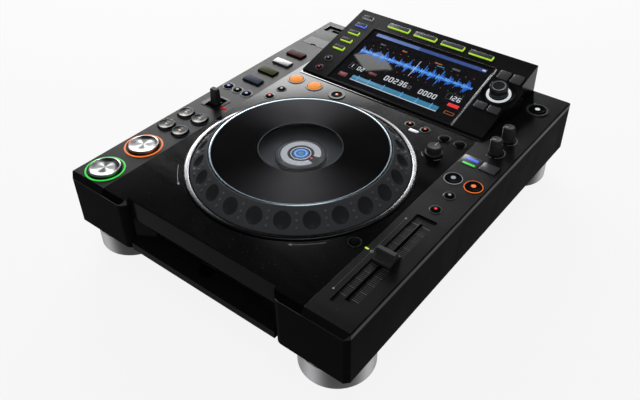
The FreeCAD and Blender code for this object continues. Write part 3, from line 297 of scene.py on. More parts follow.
@dataclass(frozen=True)
class Moulded(Finish):
    """Moulded plastic with a fine grain, a little uneven sheen and a few specks of dust."""

    grain: float = 900.0
    depth: float = 0.00003
    smear: float = 0.08
    coat: float = 0.0
    dust: float = 0.12

    def wire(self, graph: Graph, shader: Node) -> None:
        """Wire the grain to the normal, and the smear and dust to the colour and roughness."""
        grain = self.effect(graph, Effect.GRAIN, Scale=self.grain)
        smear = self.effect(graph, Effect.SMEAR, Scale=14.0)
        specks = self.effect(graph, Effect.SPECKS, Amount=self.dust)
        low = max(0.02, self.roughness - self.smear)
        rough = graph.scaled(smear.outputs[0], low, self.roughness + self.smear)
        graph.feed(shader, "Roughness", rough)
        paler = tuple(min(1.0, part * 1.25 + 0.004) for part in self.colour)
        toned = graph.blend(grain.outputs["Mask"], self.colour, paler)
        dusty = graph.blend(specks.outputs[0], toned, DUST)
        graph.feed(shader, "Base Color", dusty)
        shader.inputs["Coat Weight"].default_value = self.coat
        shader.inputs["Coat Roughness"].default_value = 0.04
        self.raise_surface(graph, shader, grain.outputs["Height"], self.depth)


@dataclass(frozen=True)
class DeckSkin(Finish):
    """The deck: gloss in the middle, satin on the two side strips, with a fine joint line between them."""

    left: float = -0.114
    right: float = 0.1145
    satin: Colour = (0.008, 0.008, 0.009)
    satin_roughness: float = 0.36
    coat: float = 0.42
    joint_half: float = 0.00035
    joint_colour: Colour = (0.002, 0.002, 0.002)

    def wire(self, graph: Graph, shader: Node) -> None:
        """Wire the two surfaces and the joint lines from the place across the deck."""
        place = graph.node("ShaderNodeTexCoord").outputs["Object"]
        parts = graph.node("ShaderNodeSeparateXYZ", {0: place})
        in_left = graph.math("LESS_THAN", parts.outputs[0], self.left)
        in_right = graph.math("GREATER_THAN", parts.outputs[0], self.right)
        strip = graph.math("ADD", in_left, in_right)
        grain = self.effect(graph, Effect.GRAIN, Scale=1100.0)
        smear = self.effect(graph, Effect.SMEAR, Scale=9.0)
        specks = self.effect(graph, Effect.SPECKS, Amount=0.15)
        joint = None
        for edge in (self.left, self.right):
            off = graph.math("ABSOLUTE", graph.math("SUBTRACT", parts.outputs[0], edge))
            line = graph.math("LESS_THAN", off, self.joint_half)
            joint = line if joint is None else graph.math("ADD", joint, line)
        base = graph.blend(strip, self.colour, self.satin)
        jointed = graph.blend(joint, base, self.joint_colour)
        dusty = graph.blend(specks.outputs[0], jointed, DUST)
        graph.feed(shader, "Base Color", dusty)
        gloss = graph.scaled(smear.outputs[0], self.roughness - 0.025, self.roughness + 0.035)
        satin = graph.scaled(smear.outputs[0], self.satin_roughness - 0.04, self.satin_roughness + 0.05)
        gap = graph.math("SUBTRACT", satin, gloss)
        rough = graph.math("ADD", gloss, graph.math("MULTIPLY", strip, gap))
        graph.feed(shader, "Roughness", rough)
        gloss_only = graph.math("SUBTRACT", 1.0, strip, clamp=True)
        graph.feed(shader, "Coat Weight", graph.math("MULTIPLY", gloss_only, self.coat))
        shader.inputs["Coat Roughness"].default_value = 0.1
        height = graph.math("MULTIPLY", grain.outputs["Height"], strip)
        self.raise_surface(graph, shader, height, 0.000025)


@dataclass(frozen=True)
class Turned(Finish):
    """Lathe-turned metal or gloss plastic with fine rings, and highlights from the middle: part real, part painted."""

    centre: Spot = (0.0, 0.0, 0.0)
    metallic: float = 1.0
    lines: float = 3000.0
    depth: float = 0.000006
    anisotropy: float = 0.75
    coat: float = 0.0
    # fans and turn set painted highlight wedges about the centre; the light and metal amounts below paint them lighter
    # and more metallic.
    fans: float = 2.0
    turn: float = 0.0
    painted_fan_light: float = 0.0
    painted_fan_metal: float = 0.0

    def wire(self, graph: Graph, shader: Node) -> None:
        """Wire the rings and the painted fan highlights, and point the real highlight's direction round the centre."""
        rings = self.effect(graph, Effect.TURNED, Centre=self.centre, Lines=self.lines, Fans=self.fans,
                            Turn=self.turn)
        smear = self.effect(graph, Effect.SMEAR, Scale=30.0)
        shader.inputs["Metallic"].default_value = self.metallic
        shader.inputs["Anisotropic"].default_value = self.anisotropy
        shader.inputs["Coat Weight"].default_value = self.coat
        shader.inputs["Coat Roughness"].default_value = 0.03
        darker = tuple(part * 0.72 for part in self.colour)
        toned = graph.blend(rings.outputs["Mask"], darker, self.colour)
        # Painted highlight: the colour is painted lighter in wedges that fan out about the centre.
        paler = tuple(min(0.95, part * (1.0 + self.painted_fan_light)) for part in self.colour)
        painted_fans = graph.blend(rings.outputs["Fan"], toned, paler)
        graph.feed(shader, "Base Color", painted_fans)
        # Painted reflection: the metal share rises in the same wedges.
        if self.painted_fan_metal:
            graph.feed(shader, "Metallic", graph.scaled(rings.outputs["Fan"], self.metallic, self.painted_fan_metal))
        wide = graph.scaled(rings.outputs["Height"], self.roughness - 0.05, self.roughness + 0.07)
        rough = graph.math("ADD", wide, graph.math("MULTIPLY", smear.outputs[0], 0.04))
        graph.feed(shader, "Roughness", rough)
        place = graph.node("ShaderNodeTexCoord").outputs["Object"]
        arm = graph.vector("SUBTRACT", place, self.centre).outputs[0]
        round_it = graph.vector("CROSS_PRODUCT", arm, (0.0, 0.0, 1.0)).outputs[0]
        graph.feed(shader, "Tangent", graph.vector("NORMALIZE", round_it).outputs[0])
        self.raise_surface(graph, shader, rings.outputs["Height"], self.depth)


@dataclass(frozen=True)
class Brushed(Finish):
    """Sheet or bar metal with straight fine streaks."""

    along: Spot = (1.0, 1.0, 60.0)
    metallic: float = 1.0
    scale: float = 60.0
    depth: float = 0.00001

    def wire(self, graph: Graph, shader: Node) -> None:
        """Wire the streaks to the colour, roughness and normal."""
        streaks = self.effect(graph, Effect.BRUSHED, Along=self.along, Scale=self.scale)
        shader.inputs["Metallic"].default_value = self.metallic
        darker = tuple(part * 0.6 for part in self.colour)
        graph.feed(shader, "Base Color", graph.blend(streaks.outputs["Mask"], darker, self.colour))
        rough = graph.scaled(streaks.outputs["Mask"], self.roughness - 0.1, self.roughness + 0.12)
        graph.feed(shader, "Roughness", rough)
        self.raise_surface(graph, shader, streaks.outputs["Height"], self.depth)


@dataclass(frozen=True)
class Lit(Finish):
    """A clear or milky piece with a lamp behind it; the jog edge band and a jack sleeve have none: painted glow."""

    glow: Colour = (1.0, 1.0, 1.0)
    strength: float = 1.0
    grain: float = 260.0

    def wire(self, graph: Graph, shader: Node) -> None:
        """Wire a slightly uneven glow."""
        grain = self.effect(graph, Effect.GRAIN, Scale=self.grain)
        paler = tuple(min(1.0, part * 1.05 + 0.05) for part in self.glow)
        deeper = tuple(part * 0.86 for part in self.glow)
        graph.feed(shader, "Emission Color", graph.blend(grain.outputs["Mask"], deeper, paler))
        shader.inputs["Emission Strength"].default_value = self.strength
        rough = graph.scaled(grain.outputs["Mask"], self.roughness - 0.05, self.roughness + 0.05)
        graph.feed(shader, "Roughness", rough)


@dataclass(frozen=True)
class Pane(Finish):
    """A clear window with faint smears."""

    def wire(self, graph: Graph, shader: Node) -> None:
        """Make the piece clear."""
        smear = self.effect(graph, Effect.SMEAR, Scale=26.0)
        rough = graph.scaled(smear.outputs[0], 0.0, self.roughness)
        graph.feed(shader, "Roughness", rough)
        shader.inputs["Transmission Weight"].default_value = 1.0
        shader.inputs["IOR"].default_value = 1.05


SATIN_CASE = Moulded("satin_case", (0.005, 0.005, 0.0055), 0.4, 0.003, grain=1000.0, depth=0.00002, smear=0.05)
GLOSS_DECK = DeckSkin("deck_skin", (0.0025, 0.0025, 0.003), 0.16, 0.09)
GLOSS_FASCIA = Moulded("gloss_fascia", (0.005, 0.005, 0.0055), 0.14, 0.012, depth=0.000004, smear=0.03)
SATIN_CONSOLE = Moulded("satin_console", (0.007, 0.007, 0.008), 0.25, 0.09, grain=1200.0, depth=0.000012,
                        smear=0.03)
MATTE_INNER = Moulded("matte_inner", (0.01, 0.01, 0.011), 0.55, depth=0.00003)
WELL_BLACK = Moulded("well_black", (0.004, 0.004, 0.005), 0.4, 0.1, depth=0.00001)
KEY_GLOSS = Moulded("key_gloss", (0.005, 0.005, 0.006), 0.12, 0.03, depth=0.000004, smear=0.03)
DOME_BLACK = Moulded("dome_black", (0.004, 0.004, 0.0045), 0.2, 0.004, depth=0.000002, smear=0.03)
KEY_SATIN = Moulded("key_satin", (0.01, 0.01, 0.011), 0.3, 0.15, depth=0.00001)
KNOB_BLACK = Moulded("knob_black", (0.009, 0.009, 0.01), 0.32, 0.2, grain=1500.0, depth=0.00001)
RIM_BLACK = Moulded("rim_black", (0.08, 0.082, 0.087), 0.45, 0.03, grain=1400.0, depth=0.00001, smear=0.05)
# Painted shade: the wheel rim's scoops are coloured darker than the rim, for the shade in the hollows.
SCOOP_PAINTED_SHADE = Moulded("scoop_painted_shade", (0.032, 0.033, 0.036), 0.36, 0.06, grain=1400.0, depth=0.000006, smear=0.04)
# Painted highlight: the rim's raised dots are coloured lighter than the rim, for the highlights they catch.
DOT_PAINTED_HIGHLIGHT = Moulded("dot_painted_highlight", (0.13, 0.133, 0.14), 0.35, 0.1, grain=1400.0, depth=0.000004)
PAD_BLUE = Moulded("pad_blue_grey", (0.03, 0.04, 0.065), 0.3, 0.012, depth=0.00001)
PAD_OLIVE = Moulded("pad_olive", (0.028, 0.031, 0.012), 0.3, 0.012, depth=0.00001)
PAD_GREY = Moulded("pad_grey", (0.03, 0.03, 0.033), 0.3, 0.012, depth=0.00001)
PAD_RED = Moulded("pad_dark_red", (0.06, 0.01, 0.009), 0.3, 0.012, depth=0.00001)
PRINT_WHITE = Moulded("print_white", (0.45, 0.45, 0.46), 0.5, depth=0.000002, smear=0.03, dust=0.0)
PRINT_GREY = Moulded("print_grey", (0.2, 0.2, 0.205), 0.5, depth=0.000002, smear=0.03, dust=0.0)
PRINT_DIM = Moulded("print_dim", (0.075, 0.075, 0.078), 0.5, depth=0.000002, smear=0.03, dust=0.0)
PRINT_RED = Moulded("print_red", (0.6, 0.012, 0.01), 0.5, 0.02, depth=0.000002, smear=0.03, dust=0.0)
BRIGHT_EDGE = Brushed("bright_edge", (0.5, 0.5, 0.52), 0.3, along=(60.0, 1.0, 1.0), scale=30.0)
DARK_RING = Brushed("dark_ring", (0.05, 0.05, 0.052), 0.28, along=(30.0, 30.0, 30.0))
STRIP_METAL = Brushed("strip_metal", (0.42, 0.42, 0.44), 0.34, along=(60.0, 2.0, 2.0), scale=26.0)
STRIP_GLOSS = Moulded("strip_gloss", (0.02, 0.02, 0.022), 0.1, 0.6, depth=0.000003, smear=0.02, coat=0.4)
SHEET_STEEL = Brushed("sheet_steel", (0.5, 0.5, 0.51), 0.36, along=(3.0, 50.0, 3.0))
SCREW_STEEL = Brushed("screw_steel", (0.45, 0.45, 0.46), 0.35, along=(30.0, 30.0, 30.0))
SOCKET_METAL = Brushed("socket_metal", (0.6, 0.6, 0.6), 0.3, along=(30.0, 5.0, 30.0))
BOARD_GREEN = Moulded("board_green", (0.01, 0.07, 0.035), 0.35, grain=300.0, depth=0.00003)
RUBBER = Moulded("table_rubber", (0.02, 0.02, 0.02), 0.7, grain=600.0, depth=0.00006)
CLEAR = Pane("clear_window", (0.85, 0.87, 0.9), 0.02, 0.1)
GLOW_GREEN = Lit("glow_green", (0.02, 0.2, 0.03), 0.3, glow=(0.035, 0.72, 0.06), strength=0.85)
GLOW_ORANGE = Lit("glow_orange", (0.3, 0.1, 0.02), 0.3, glow=(0.95, 0.17, 0.01), strength=0.85)
CAP_ORANGE = Lit("cap_orange", (0.5, 0.16, 0.02), 0.28, 0.03, glow=(1.0, 0.3, 0.03), strength=0.6)
GLOW_WARM = Lit("glow_warm", (0.5, 0.35, 0.2), 0.3, glow=(1.0, 0.5, 0.12), strength=0.6)
GLOW_WHITE = Lit("glow_white", (0.5, 0.5, 0.5), 0.3, glow=(0.85, 0.93, 1.0), strength=0.6)
GLOW_SOFT = Lit("glow_soft_white", (0.3, 0.3, 0.3), 0.3, glow=(0.75, 0.85, 0.95), strength=0.2)
GLOW_RED = Lit("glow_red", (0.4, 0.02, 0.02), 0.3, glow=(1.0, 0.02, 0.015), strength=0.75)
GLOW_BLUE = Lit("glow_blue", (0.05, 0.1, 0.5), 0.3, glow=(0.06, 0.16, 0.85), strength=0.8)
GLOW_LIME = Lit("glow_lime", (0.2, 0.3, 0.02), 0.3, glow=(0.5, 0.85, 0.02), strength=0.85)
GLOW_YELLOW = Lit("glow_yellow", (0.2, 0.2, 0.02), 0.3, glow=(0.5, 0.5, 0.05), strength=0.35)
# Painted highlight: a faint glow on the jog plate's edge band, standing in for the light its bevel catches.
PAINTED_EDGE_GLOW = Lit("painted_edge_glow", (0.3, 0.36, 0.42), 0.25, glow=(0.5, 0.75, 0.95), strength=0.12)
SCREEN_BLACK = Lit("screen_black", (0.002, 0.002, 0.003), 0.05, 0.2, glow=(0.008, 0.009, 0.014), strength=0.2)
INK_BLUE = Lit("picture_blue", (0.01, 0.03, 0.1), 0.2, glow=(0.015, 0.15, 0.7), strength=0.9)
INK_PALE = Lit("picture_pale_blue", (0.02, 0.05, 0.1), 0.2, glow=(0.1, 0.4, 0.9), strength=0.9)
INK_NAVY = Lit("picture_navy", (0.01, 0.02, 0.06), 0.2, glow=(0.03, 0.075, 0.3), strength=0.75)
INK_HEADER = Lit("picture_header", (0.02, 0.04, 0.1), 0.2, glow=(0.12, 0.2, 0.5), strength=0.75)
INK_CYAN = Lit("picture_cyan", (0.01, 0.05, 0.08), 0.2, glow=(0.02, 0.19, 0.34), strength=0.85)
INK_WHITE = Lit("picture_white", (0.1, 0.1, 0.1), 0.2, glow=(0.7, 0.74, 0.8), strength=0.8)
INK_DIM = Lit("picture_dim", (0.03, 0.03, 0.03), 0.2, glow=(0.1, 0.11, 0.12), strength=0.6)
INK_RED = Lit("picture_red", (0.1, 0.01, 0.01), 0.2, glow=(0.9, 0.015, 0.015), strength=0.85)
INK_MAROON = Lit("picture_maroon", (0.05, 0.01, 0.01), 0.2, glow=(0.14, 0.01, 0.015), strength=0.8)
INK_ORANGE = Lit("picture_orange", (0.1, 0.03, 0.01), 0.2, glow=(0.45, 0.12, 0.01), strength=0.6)
INK_GREEN = Lit("picture_green", (0.01, 0.08, 0.01), 0.2, glow=(0.05, 0.4, 0.04), strength=0.6)


# Shapes, in millimetres.


def ring(radius: float, height: float, at: Point = (0.0, 0.0), steps: int = 64) -> list[Vector]:
    """Return a circle of points at one height."""
    turns = [2.0 * math.pi * i / steps for i in range(steps)]
    return [Vector((at[0] + radius * math.cos(a), at[1] + radius * math.sin(a), height)) for a in turns]


def rounded(width: float, depth: float, corner: float, height: float, at: Point = (0.0, 0.0),
            steps: int = 5) -> list[Vector]:
    """Return the outline of a rectangle with round corners at one height."""
    corner = max(0.01, min(corner, width / 2 - 0.01, depth / 2 - 0.01))
    found = []
    for number, (sx, sy) in enumerate(((1, 1), (-1, 1), (-1, -1), (1, -1))):
        centre = (at[0] + sx * (width / 2 - corner), at[1] + sy * (depth / 2 - corner))
        for i in range(steps + 1):
            angle = math.pi / 2 * (number + i / steps)
            found.append(Vector((centre[0] + corner * math.cos(angle), centre[1] + corner * math.sin(angle),
                                 height)))
    return found


def soft_edge(low: float, high: float, edge: float, steps: int = 4) -> list[Point]:
    """Return insets and heights that rise straight and then round inwards at the top."""
    found = [(0.0, low), (0.0, high - edge)]
    for i in range(1, steps + 1):
        angle = math.pi / 2 * i / steps
        found.append((edge * (1 - math.cos(angle)), high - edge + edge * math.sin(angle)))
    return found


def link_object(name: str, mesh: bpy.types.Mesh) -> Object:
    """Add an object with a mesh to the scene and return it."""
    made = bpy.data.objects.new(name, mesh)
    bpy.context.scene.collection.objects.link(made)
    return made


class Form:
    """A shape that grows from stacks of loops, with one finish for each stack."""

    def __init__(self, place: Place = DECK) -> None:
        """Start an empty shape on a place."""
        self.place = place
        self.points: list[Vector] = []
        self.faces: list[tuple[int, ...]] = []
        self.marks: list[int] = []
        self.finishes: list[Finish] = []

    def stack(self, loops: Sequence[Sequence[Vector]], finish: Finish, closed: bool = True) -> "Form":
        """Join loops of equal length into a shell.

        Args:
            loops: The loops, in order.
            finish: The shell's finish.
            closed: True to cap both ends, False to join the last loop to the first.

        Returns:
            This shape.
        """
        if finish not in self.finishes:
            self.finishes.append(finish)
        mark = self.finishes.index(finish)
        start = len(self.points)
        count = len(loops[0])
        for loop in loops:
            self.points.extend(loop)
        spans = len(loops) - 1 if closed else len(loops)
        for k in range(spans):
            lower = start + k * count
            upper = start + ((k + 1) % len(loops)) * count
            for i in range(count):
                j = (i + 1) % count
                self.add_face((lower + i, lower + j, upper + j, upper + i), mark)
        if closed:
            self.add_face(tuple(range(start + count - 1, start - 1, -1)), mark)
            self.add_face(tuple(range(start + spans * count, start + (spans + 1) * count)), mark)
        return self

    def add_face(self, corners: tuple[int, ...], mark: int) -> None:
        """Add one face with its finish."""
        self.faces.append(corners)
        self.marks.append(mark)

    def turned(self, outline: Sequence[Point], finish: Finish, at: Point = (0.0, 0.0), steps: int = 64,
               hollow: bool = False) -> "Form":
        """Turn an outline of radii and heights about an upright axis, solid or as a ring."""
        loops = [ring(max(radius, 0.02), height, at, steps) for radius, height in outline]
        return self.stack(loops, finish, not hollow)

    def disc(self, radius: float, low: float, high: float, finish: Finish, at: Point = (0.0, 0.0),
             steps: int = 64) -> "Form":
        """Add a flat round disc."""
        return self.turned([(0, low), (radius, low), (radius, high), (0, high)], finish, at, steps)

    def band(self, inner: float, outer: float, low: float, high: float, finish: Finish, at: Point = (0.0, 0.0),
             steps: int = 64) -> "Form":
        """Add a flat ring."""
        return self.turned([(inner, low), (outer, low), (outer, high), (inner, high)], finish, at, steps,
                           hollow=True)

    def block(self, at: Point, size: Point, low: float, high: float, finish: Finish, corner: float = 0.5,
              edge: float = 0.2) -> "Form":
        """Add a block with round corners and a soft top edge."""
        loops = [rounded(size[0] - 2 * inset, size[1] - 2 * inset, corner - inset, height, at)
                 for inset, height in soft_edge(low, high, edge, 3)]
        return self.stack(loops, finish)

    def outline(self, corners: Sequence[Point], low: float, high: float, finish: Finish) -> "Form":
        """Raise a flat outline."""
        loops = [[Vector((u, v, height)) for u, v in corners] for height in (low, high)]
        return self.stack(loops, finish)

    def line(self, start: Point, end: Point, width: float, low: float, high: float, finish: Finish) -> "Form":
        """Add a straight bar between two points."""
        a, b = Vector(start), Vector(end)
        side = (b - a).normalized().orthogonal() * width / 2
        return self.outline([tuple(a + side), tuple(a - side), tuple(b - side), tuple(b + side)], low, high, finish)

    def arc(self, centre: Point, radius: float, first: float, last: float, width: float, low: float, high: float,
            finish: Finish, steps: int = 40) -> "Form":
        """Add a flat arc between two angles in degrees."""
        angles = [math.radians(first + (last - first) * i / steps) for i in range(steps + 1)]
        outer = [(centre[0] + (radius + width / 2) * math.cos(a), centre[1] + (radius + width / 2) * math.sin(a))
                 for a in angles]
        inner = [(centre[0] + (radius - width / 2) * math.cos(a), centre[1] + (radius - width / 2) * math.sin(a))
                 for a in angles]
        for i in range(steps):
            self.outline([outer[i], outer[i + 1], inner[i + 1], inner[i]], low, high, finish)
        return self

    def piece(self, name: str, body: str, replaces: Iterable[str] = (), slot: Optional[str] = None,
              crease: float = SHARP_ANGLE) -> Object:
        """Turn the shape into an object that rides on a body.

        Args:
            name: The piece's name.
            body: The body it moves with.
            replaces: CAD nodes that it stands for.
            slot: The record's material slot; not used.
            crease: Angle in degrees above which an edge stays sharp.

        Returns:
            The finished object.
        """
        mesh = self.mesh(name, crease)
        for finish in self.finishes:
            mesh.materials.append(finish.material())
        mesh.polygons.foreach_set("material_index", self.marks)
        return mount(link_object(name, mesh), body, replaces)

    def mesh(self, name: str, crease: float) -> bpy.types.Mesh:
        """Turn the shape into a bare mesh.

        Args:
            name: The mesh's name.
            crease: Angle in degrees above which an edge stays sharp.

        Returns:
            The mesh, with its faces outwards and without a finish.
        """
        mesh = bpy.data.meshes.new(name)
        matrix = self.place.matrix()
        mesh.from_pydata([matrix @ point for point in self.points], [], self.faces)
        work = bmesh.new()
        work.from_mesh(mesh)
        bmesh.ops.recalc_face_normals(work, faces=work.faces)
        work.to_mesh(mesh)
        work.free()
        mesh.shade_smooth()
        mesh.set_sharp_from_angle(angle=math.radians(crease))
        return mesh


def mount(made: Object, body: str, replaces: Iterable[str] = ()) -> Object:
    """Set an object on its body, hide the nodes it stands for and report it."""
    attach(made, body)
    names = list(replaces)
    if names:
        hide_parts(*names)
    LOG.info("%s rides on %s, %d faces", made.name, body, len(made.data.polygons))
    return made


class Pattern:
    """A geometry node tree with named inputs that ends in real geometry with one material."""

    def __init__(self, name: str) -> None:
        """Start the tree with its output and its material input."""
        self.tree = bpy.data.node_groups.new(name, "GeometryNodeTree")
        self.tree.interface.new_socket("Geometry", in_out="OUTPUT", socket_type="NodeSocketGeometry")
        self.graph = Graph(self.tree)
        self.source = self.tree.nodes.new("NodeGroupInput")
        self.tree.interface.new_socket("Material", in_out="INPUT", socket_type="NodeSocketMaterial")

    def input(self, name: str, kind: str, default: Any = None) -> Socket:
        """Add a named input and return its socket inside the tree."""
        socket = self.tree.interface.new_socket(name, in_out="INPUT", socket_type=kind)
        if default is not None:
            socket.default_value = default
        return self.source.outputs[name]

    def end(self, geometry: Socket, part: Optional[Socket] = None) -> "Pattern":
        """Finish the tree with real geometry and its material, and another material on a chosen part.

        Args:
            geometry: What the tree has made.
            part: Where the other material goes, if anywhere.

        Returns:
            This pattern.
        """
        real = self.graph.node("GeometryNodeRealizeInstances", {0: geometry})
        dressed = self.graph.node("GeometryNodeSetMaterial",
                                  {"Geometry": real.outputs[0], "Material": self.source.outputs["Material"]})
        if part is not None:
            other = self.input("Part Material", "NodeSocketMaterial")
            dressed = self.graph.node("GeometryNodeSetMaterial",
                                      {"Geometry": dressed.outputs[0], "Selection": part, "Material": other})
        self.graph.node("NodeGroupOutput", {"Geometry": dressed.outputs[0]})
        return self

    def grow(self, name: str, finish: Finish, values: dict[str, Any]) -> Object:
        """Run the tree once and keep its result as a plain mesh.

        Args:
            name: The object's name.
            finish: The finish for all of it.
            values: Values for the named inputs.

        Returns:
            The object, not yet on a body.
        """
        carrier = link_object(name, bpy.data.meshes.new(name))
        modifier = carrier.modifiers.new("pattern", "NODES")
        modifier.node_group = self.tree
        wanted = {"Material": finish.material(), **values}
        for item in self.tree.interface.items_tree:
            if item.item_type == "SOCKET" and item.in_out == "INPUT" and item.name in wanted:
                modifier[item.identifier] = wanted[item.name]
        graph = bpy.context.evaluated_depsgraph_get()
        mesh = bpy.data.meshes.new_from_object(carrier.evaluated_get(graph), preserve_all_data_layers=True,
                                               depsgraph=graph)
        carrier.modifiers.clear()
        carrier.data = mesh
        carrier.data.name = name
        return carrier


class Repeats:
    """The repeating patterns: items on a circle, items on a grid, bars of uneven height, and the scooped wheel rim."""

    def __init__(self) -> None:
        """Build every tree once."""
        self.round = self.build_round()
        self.grid = self.build_grid()
        self.bars = self.build_bars()
        self.scoops = self.build_scoops()

    @staticmethod
    def build_round() -> Pattern:
        """Return a tree that sets copies of an item about an upright axis."""
        made = Pattern("items_round_axis")
        item = made.input("Item", "NodeSocketObject")
        count = made.input("Count", "NodeSocketInt", 24)
        centre = made.input("Centre", "NodeSocketVector", (0.0, 0.0, 0.0))
        turn = made.input("First Turn", "NodeSocketFloat", 0.0)
        graph = made.graph
        points = graph.node("GeometryNodeMeshLine", {"Count": count, "Offset": (0.0, 0.0, 0.0)}, mode="OFFSET")
        placed = graph.node("GeometryNodeSetPosition", {"Geometry": points.outputs[0], "Position": centre})
        info = graph.node("GeometryNodeObjectInfo", {"Object": item})
        share = graph.math("DIVIDE", graph.node("GeometryNodeInputIndex").outputs[0], count)
        angle = graph.math("ADD", graph.math("MULTIPLY", share, 2.0 * math.pi), turn)
        spin = graph.node("ShaderNodeCombineXYZ", {2: angle})
        copies = graph.node("GeometryNodeInstanceOnPoints",
                            {"Points": placed.outputs[0], "Instance": info.outputs["Geometry"],
                             "Rotation": spin.outputs[0]})
        return made.end(copies.outputs[0])

    @staticmethod
    def build_grid() -> Pattern:
        """Return a tree that sets copies of an item in a row, each a step from the last."""
        made = Pattern("items_in_row")
        item = made.input("Item", "NodeSocketObject")
        count = made.input("Count", "NodeSocketInt", 10)
        start = made.input("Start", "NodeSocketVector", (0.0, 0.0, 0.0))
        step = made.input("Step", "NodeSocketVector", (0.001, 0.0, 0.0))
        graph = made.graph
        points = graph.node("GeometryNodeMeshLine", {"Count": count, "Start Location": start, "Offset": step},
                            mode="OFFSET")
        info = graph.node("GeometryNodeObjectInfo", {"Object": item})
        copies = graph.node("GeometryNodeInstanceOnPoints",
                            {"Points": points.outputs[0], "Instance": info.outputs["Geometry"]})
        return made.end(copies.outputs[0])

    @staticmethod
    def build_bars() -> Pattern:
        """Return a tree that draws a row of bars whose heights swell and shrink like sound."""
        made = Pattern("sound_bars")
        count = made.input("Count", "NodeSocketInt", 150)
        pitch = made.input("Pitch", "NodeSocketFloat", 0.001)
        reach = made.input("Reach", "NodeSocketFloat", 0.01)
        seed = made.input("Seed", "NodeSocketFloat", 1.0)
        graph = made.graph
        step = graph.node("ShaderNodeCombineXYZ", {0: pitch})
        points = graph.node("GeometryNodeMeshLine", {"Count": count, "Offset": step.outputs[0]}, mode="OFFSET")
        index = graph.node("GeometryNodeInputIndex").outputs[0]
        beat = graph.math("DIVIDE", graph.math("ADD", index, seed), 19.0)
        fade = graph.math("POWER", graph.math("SUBTRACT", 1.0, graph.math("FRACT", beat)), 1.7)
        loud = graph.node("ShaderNodeTexWhiteNoise", {"W": graph.math("FLOOR", beat)},
                          noise_dimensions="1D").outputs[0]
        swell = graph.math("ADD", graph.math("MULTIPLY", fade, graph.scaled(loud, 0.45, 0.95)), 0.12)
        fast = graph.node("ShaderNodeTexWhiteNoise", {"W": graph.math("ADD", index, seed)},
                          noise_dimensions="1D").outputs[0]
        jump = graph.scaled(fast, 0.3, 1.0)
        height = graph.math("MULTIPLY", graph.math("MULTIPLY", jump, swell), graph.math("MULTIPLY", reach, 2.0))
        size = graph.node("ShaderNodeCombineXYZ", {0: graph.math("MULTIPLY", pitch, 0.72), 1: height, 2: 0.00012})
        bar = graph.node("GeometryNodeMeshCube", {"Size": (1.0, 1.0, 1.0)})
        copies = graph.node("GeometryNodeInstanceOnPoints",
                            {"Points": points.outputs[0], "Instance": bar.outputs[0], "Scale": size.outputs[0]})
        return made.end(copies.outputs[0])

    @staticmethod
    def build_scoops() -> Pattern:
        """Return a tree that presses round scoops into a turned rim, spaced evenly about its axis."""
        made = Pattern("scooped_rim")
        rim = made.input("Rim", "NodeSocketObject")
        count = made.input("Count", "NodeSocketInt", 24)
        centre = made.input("Centre", "NodeSocketVector", (0.0, 0.0, 0.0))
        ball = made.input("Ball Centre", "NodeSocketVector", (0.1, 0.0, 0.1))
        radius = made.input("Ball Radius", "NodeSocketFloat", 0.014)
        graph = made.graph
        info = graph.node("GeometryNodeObjectInfo", {"Object": rim})
        arm = graph.vector("SUBTRACT", graph.node("GeometryNodeInputPosition").outputs[0], centre).outputs[0]
        parts = graph.node("ShaderNodeSeparateXYZ", {0: arm})
        turn = graph.math("ARCTAN2", parts.outputs[1], parts.outputs[0])
        pitch = graph.math("DIVIDE", 2.0 * math.pi, count)
        nearest = graph.math("MULTIPLY", graph.math("ROUND", graph.math("DIVIDE", turn, pitch)), pitch)
        back = graph.math("MULTIPLY", nearest, -1.0)
        local = graph.node("ShaderNodeVectorRotate", {"Vector": arm, "Angle": back},
                           rotation_type="Z_AXIS").outputs[0]
        offset = graph.vector("SUBTRACT", local, ball).outputs[0]
        reach = graph.vector("LENGTH", offset).outputs["Value"]
        inside = graph.node("FunctionNodeCompare", {0: reach, 1: radius}, data_type="FLOAT",
                            operation="LESS_THAN").outputs[0]
        out = graph.node("ShaderNodeVectorMath", {0: graph.vector("NORMALIZE", offset).outputs[0], "Scale": radius},
                         operation="SCALE").outputs[0]
        pressed = graph.vector("ADD", out, ball).outputs[0]
        turned = graph.node("ShaderNodeVectorRotate", {"Vector": pressed, "Angle": nearest},
                            rotation_type="Z_AXIS").outputs[0]
        final = graph.vector("ADD", turned, centre).outputs[0]
        shaped = graph.node("GeometryNodeSetPosition", {"Geometry": info.outputs["Geometry"], "Selection": inside,
                                                        "Position": final})
        # The scoops take the part material, which the wheel sets to its painted shade.
        return made.end(shaped.outputs[0], inside)


def template(form: Form, name: str) -> Object:
    """Make a hidden model of an item for a pattern to copy.

    Args:
        form: The item's shape.
        name: The model's name.

    Returns:
        The model, which forget() removes.
    """
    return link_object(name, form.mesh(name, SHARP_ANGLE))


def forget(model: Object) -> None:
    """Remove a pattern's model."""
    mesh = model.data
    bpy.data.objects.remove(model)
    bpy.data.meshes.remove(mesh)


def repeat(pattern: Pattern, name: str, body: str, form: Form, finish: Finish, values: dict[str, Any]) -> None:
    """Set copies of a shape by a pattern, as one piece on a body.

    Args:
        pattern: The pattern that sets the copies.
        name: The piece's name.
        body: The body that it moves with.
        form: The shape to copy.
        finish: The finish for all of it.
        values: Values for the pattern's inputs.
    """
    model = template(form, f"{name}_model")
    mount(pattern.grow(name, finish, {"Item": model, **values}), body, ())
    forget(model)


def dress(node: str, finish: Finish) -> None:
    """Give a CAD node its finish."""
    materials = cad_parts[node].data.materials
    materials.clear()
    materials.append(finish.material())


# Sub-assemblies.


